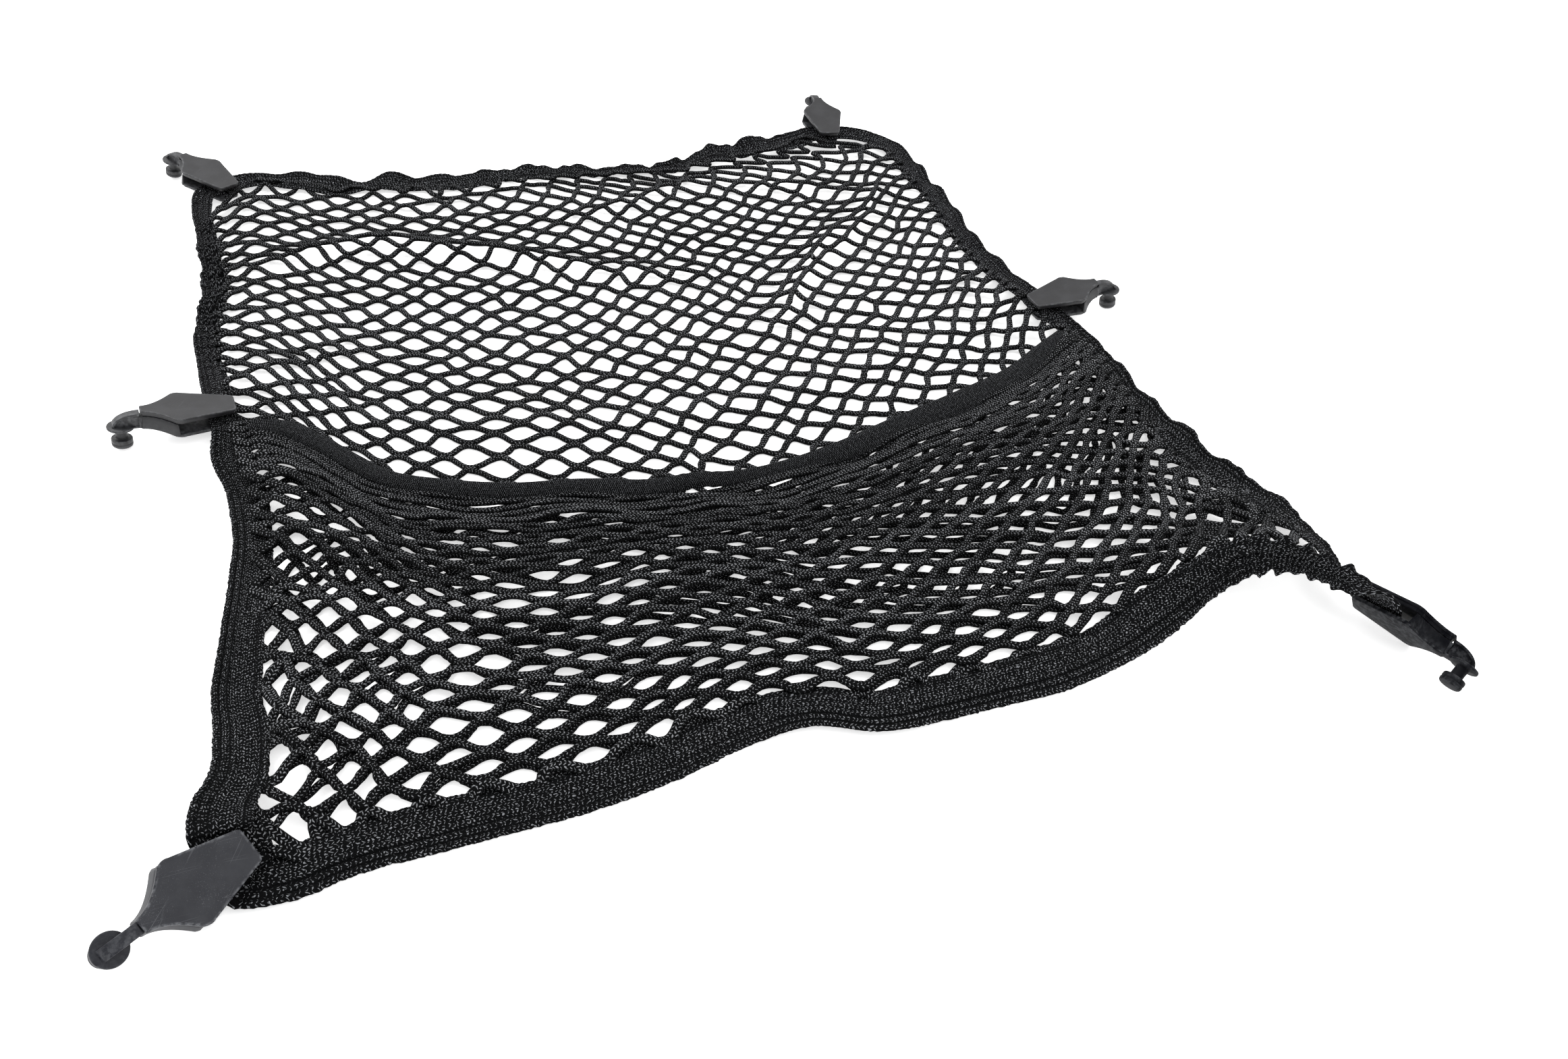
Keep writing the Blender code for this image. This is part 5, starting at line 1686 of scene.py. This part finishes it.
class LUGGAGENET_OT_stage(Operator):
    """Make the pale floor, the soft lights and the camera"""

    bl_idname = "luggagenet.stage"
    bl_label = "Make Stage"

    def execute(self, context):
        settings = context.scene.net_stage
        half = settings.floor_width / 2
        side = np.linspace(-half, half, 5)
        x, y = np.meshgrid(side, side, indexing="xy")
        points = np.column_stack([x.ravel(), y.ravel(), np.full(x.size, -0.00005)])
        first = (np.arange(4)[:, None] * 5 + np.arange(4)[None, :]).ravel()
        mesh = bpy.data.meshes.new("floor")
        faces = np.column_stack([first, first + 1, first + 6, first + 5])
        mesh.from_pydata(points.tolist(), [], faces.tolist())
        floor = add_object("floor", mesh, floor_material())
        world = context.scene.world or bpy.data.worlds.new("studio")
        context.scene.world = world
        world.use_nodes = True
        background = world.node_tree.nodes.get("Background")
        background.inputs["Color"].default_value = (1.0, 1.0, 1.0, 1.0)
        background.inputs["Strength"].default_value = settings.sky_light
        for name, place, size, power in (
                ("key_light", (-0.75, 0.95, 1.5), 1.4, settings.key_light),
                ("fill_light", (1.1, -0.7, 1.2), 1.6, settings.fill_light)):
            data = bpy.data.lights.new(name, "AREA")
            data.shape = "SQUARE"
            data.size = size
            data.energy = power
            light = bpy.data.objects.new(name, data)
            light.location = place
            light.rotation_euler = (-Vector(place)).to_track_quat("-Z", "Y").to_euler()
            context.scene.collection.objects.link(light)
        self.make_camera(context)
        context.scene.view_settings.view_transform = "Standard"
        return {"FINISHED"}

    def make_camera(self, context):
        """A camera over the floor that looks along its heading and down, turned a little about its view."""
        slope, turn = radians(CAMERA_SLOPE), radians(CAMERA_TURN)
        level = Vector(CAMERA_HEADING).normalized()
        ahead = level * cos(slope) - Vector((0, 0, 1)) * sin(slope)
        right = Vector((level.y, -level.x, 0.0))
        up = right.cross(ahead)
        turned_right = right * cos(turn) + up * sin(turn)
        turned_up = up * cos(turn) - right * sin(turn)
        data = bpy.data.cameras.new("camera")
        data.lens = CAMERA_LENS
        data.sensor_width = SENSOR_WIDTH
        data.sensor_fit = "HORIZONTAL"
        data.clip_start = 0.01
        camera = bpy.data.objects.new("camera", data)
        rows = zip(turned_right, turned_up, -ahead, CAMERA_PLACE)
        camera.matrix_world = Matrix((*rows, (0, 0, 0, 1)))
        context.scene.collection.objects.link(camera)
        context.scene.camera = camera


class LUGGAGENET_OT_main_net(Operator):
    """Make the main net in two pieces, under and behind the pocket's mouth"""

    bl_idname = "luggagenet.main_net"
    bl_label = "Make Main Net"

    def execute(self, context):
        settings = context.scene.net_mesh
        rng = np.random.default_rng(SEED)
        near, far, _ = net_surfaces(clip_frames())
        rows = settings.rows_under + settings.rows_behind
        border = 2 * settings.rows_under
        u, v = lattice(settings, rows)
        row = np.arange(2 * rows + 1)[None, :]
        v = np.where(row <= border, (1 + PAST_FRONT) * row / border - PAST_FRONT,
                     1 + (1 + PAST_BACK) * (row - border) / (2 * settings.rows_behind))
        u, v = uneven_lay(u, np.broadcast_to(v, u.shape), settings, rng)
        behind = row[0] >= border
        u[0] = -np.where(behind, ends_past(far, "left", v[0] - 1), ends_past(near, "left", v[0]))
        u[-1] = 1 + np.where(behind, ends_past(far, "right", v[-1] - 1), ends_past(near, "right", v[-1]))
        v[:, 0] = -ends_past(near, "front", u[:, 0])
        v[:, -1] = 2 + ends_past(far, "back", u[:, -1])
        drop = settings.joint_offset / MM
        for name, strands, surface, low, length, flat in (
                ("main_cords_front", range(0, border), near, 0.0, LENGTH_UNDER, MAIN_FRONT_FLAT),
                ("main_cords_back", range(border, 2 * rows), far, 1.0, BEHIND_OFFSET_LENGTH,
                 MAIN_BACK_FLAT)):
            at_u, at_v = strand_shares(u, v, list(strands), drop / length, settings.straightness,
                                       STEPS_ABOVE if low else STEPS_UNDER)
            centres = read_surface(surface, at_u, at_v - low)
            centres[..., 2] += settings.cord_height / MM / 2 - NET_THICKNESS / 2
            centres[..., 2] += STRAND_SPREAD * rng.standard_normal((len(strands), 1))
            if low:
                centres = draw_into_folds(centres)
                climb, press = over_tapes(at_u, at_v)
                centres[..., 2] += TAPE_CLIMB * climb
            else:
                press = under_tapes(at_u, at_v, centres)
                centres[..., 2] -= PRESSED_DOWN * press
            add_net(name, centres, press, settings, settings.cord_width, "main_net", rng)
        return {"FINISHED"}


class LUGGAGENET_OT_pocket_net(Operator):
    """Make the pocket's own net, with its rows drawn together under the elastic"""

    bl_idname = "luggagenet.pocket_net"
    bl_label = "Make Pocket Net"

    def execute(self, context):
        settings = context.scene.net_mesh
        rng = np.random.default_rng(SEED + 1)
        _, _, pocket = net_surfaces(clip_frames())
        u, t = lattice(settings, settings.rows_pocket)
        crowded = t + ROW_CROWDING * t * (1 - t**CROWDING_POWER)
        v = (1 + PAST_FRONT + PAST_MOUTH) * crowded - PAST_FRONT
        u, uneven_v = uneven_lay(u, v, settings, rng)
        v = v + (uneven_v - v) * (1 - t**3)
        apart = np.clip(v / SEWN_REACH, 0, 1) * (1 - t**3) * POCKET_SHIFT
        u = u + apart * waves(u * NET_WIDTH, v * LENGTH_UNDER, rng, POCKET_WAVES) / NET_WIDTH
        v = v + apart * waves(u * NET_WIDTH, v * LENGTH_UNDER, rng, POCKET_WAVES) / LENGTH_UNDER
        u[0], u[-1] = -ends_past(pocket, "left", v[0]), 1 + ends_past(pocket, "right", v[-1])
        v[:, 0], v[:, -1] = -ends_past(pocket, "front", u[:, 0]), 1 + PAST_MOUTH
        strands = np.arange(2 * settings.rows_pocket)
        at_u, at_v = strand_shares(u, v, strands, settings.joint_offset / MM / LENGTH_UNDER,
                                   settings.straightness, STEPS_ABOVE)
        centres = read_surface(pocket, at_u, at_v)
        middle = np.exp(-((at_u - PILE_MIDDLE) / PILE_REACH) ** 4)
        close = np.clip((at_v - PILE_START) / PILE_LENGTH, 0, 1) * (
            PILE_AT_SIDES + (1 - PILE_AT_SIDES) * middle)
        spaced = strands[:, None] * PILE_SPACING + 0 * at_u
        pile = PILE_STEP * (strands[:, None] % 2)
        pile = pile + PILE_WAVE * waves(at_u * NET_WIDTH, spaced, rng, PILE_WAVES)
        press = under_tapes(at_u, at_v, centres)
        centres[..., 2] += settings.cord_height / MM / 2 - NET_THICKNESS / 2 + close * pile
        centres[..., 2] -= POCKET_PRESSED_DOWN * press
        width = settings.pocket_width * (1 - PILE_NARROWER * close) * (
            1 + BUNCH_WIDER * beside_tapes(at_u, at_v))
        add_net("pocket_cords", centres, press, settings, width, "pocket_net",
                rng)
        return {"FINISHED"}


class LUGGAGENET_OT_mouth_band(Operator):
    """Make the ribbed elastic along the pocket's mouth"""

    bl_idname = "luggagenet.mouth_band"
    bl_label = "Make Mouth Elastic"

    def execute(self, context):
        mouth_elastic(context.scene.net_tape, np.random.default_rng(SEED + 2))
        return {"FINISHED"}


class LUGGAGENET_OT_edge_tapes(Operator):
    """Make the four knitted edge tapes"""

    bl_idname = "luggagenet.edge_tapes"
    bl_label = "Make Edge Tapes"

    def execute(self, context):
        frames = clip_frames()
        for number, side in enumerate(TAPES):
            edge_tape(side, frames, context.scene.net_tape, np.random.default_rng(SEED + 3 + number))
        return {"FINISHED"}


class LUGGAGENET_OT_clips(Operator):
    """Make the six hook clips, each a lid and a lower moulding"""

    bl_idname = "luggagenet.clips"
    bl_label = "Make Clips"

    def execute(self, context):
        settings = context.scene.net_clip
        round_by = settings.edge_round / MM
        lid = plastic_material("satin_lid", settings.lid_colour, settings.scratches * 0.4, 0.35)
        # The front clips take darker copies of the plastic, as painted shade; the front right one is also
        # nearly without gloss.
        shaded_front_lid = plastic_material("satin_front_lid_painted_shade", settings.front_lid_shaded_colour, settings.scratches, 0.6)
        body = plastic_material("satin_body", settings.body_colour, settings.scratches * 0.5, 0.35)
        shaded_front_body = plastic_material("satin_front_body_painted_shade", settings.front_lid_shaded_colour,
                                      settings.scratches * 0.3, 0.3, 0.30)
        # The front right clip is darker all over, as painted shade, and nearly without gloss.
        dull_shaded_clip = plastic_material("dull_painted_shade_clip", settings.dull_painted_shade_colour, settings.scratches * 0.3, 0.3, 0.03)
        shaded_front_materials = {"front_left": (shaded_front_lid, shaded_front_body), "front_right": (dull_shaded_clip, dull_shaded_clip)}
        for name, place in clip_frames().items():
            lid_material, body_material = shaded_front_materials.get(name, (lid, body))
            for part, shells, material, slot in (
                    ("lid", lid_shells(round_by), lid_material, "lid_plastic"),
                    ("body", body_shells(round_by), body_material, "body_plastic")):
                piece = clip_piece(f"{name}_{part}", shells, place, material)
                stand_in(piece, f"clip_{name}_{part}")
        return {"FINISHED"}


class LUGGAGENET_PT_panel(Panel):
    """Sidebar panel with a button for each piece and its settings"""

    bl_idname = "LUGGAGENET_PT_panel"
    bl_label = "Luggage Net"
    bl_space_type = "VIEW_3D"
    bl_region_type = "UI"
    bl_category = "Luggage Net"

    def draw(self, context):
        scene = context.scene
        for settings, operators in (
                (scene.net_stage, (LUGGAGENET_OT_stage,)),
                (scene.net_mesh, (LUGGAGENET_OT_main_net, LUGGAGENET_OT_pocket_net)),
                (scene.net_tape, (LUGGAGENET_OT_mouth_band, LUGGAGENET_OT_edge_tapes)),
                (scene.net_clip, (LUGGAGENET_OT_clips,))):
            box = self.layout.box()
            for label in settings.bl_rna.properties.keys():
                if label not in {"rna_type", "name"}:
                    box.prop(settings, label)
            for made in operators:
                box.operator(made.bl_idname)


CLASSES = (
    MeshSettings, TapeSettings, ClipSettings, StageSettings, LUGGAGENET_OT_stage, LUGGAGENET_OT_main_net,
    LUGGAGENET_OT_pocket_net, LUGGAGENET_OT_mouth_band, LUGGAGENET_OT_edge_tapes, LUGGAGENET_OT_clips,
    LUGGAGENET_PT_panel,
)


def register():
    """Register the classes and hang the settings on the scene."""
    for made in CLASSES:
        bpy.utils.register_class(made)
    bpy.types.Scene.net_mesh = PointerProperty(type=MeshSettings)
    bpy.types.Scene.net_tape = PointerProperty(type=TapeSettings)
    bpy.types.Scene.net_clip = PointerProperty(type=ClipSettings)
    bpy.types.Scene.net_stage = PointerProperty(type=StageSettings)


def unregister():
    """Take the settings off the scene and unregister the classes."""
    del bpy.types.Scene.net_stage, bpy.types.Scene.net_clip, bpy.types.Scene.net_tape
    del bpy.types.Scene.net_mesh
    for made in reversed(CLASSES):
        bpy.utils.unregister_class(made)


def main():
    """Make every piece in order."""
    register()
    bpy.ops.luggagenet.stage()
    bpy.ops.luggagenet.main_net()
    bpy.ops.luggagenet.pocket_net()
    bpy.ops.luggagenet.mouth_band()
    bpy.ops.luggagenet.edge_tapes()
    bpy.ops.luggagenet.clips()


if __name__ == "__main__":
    main()
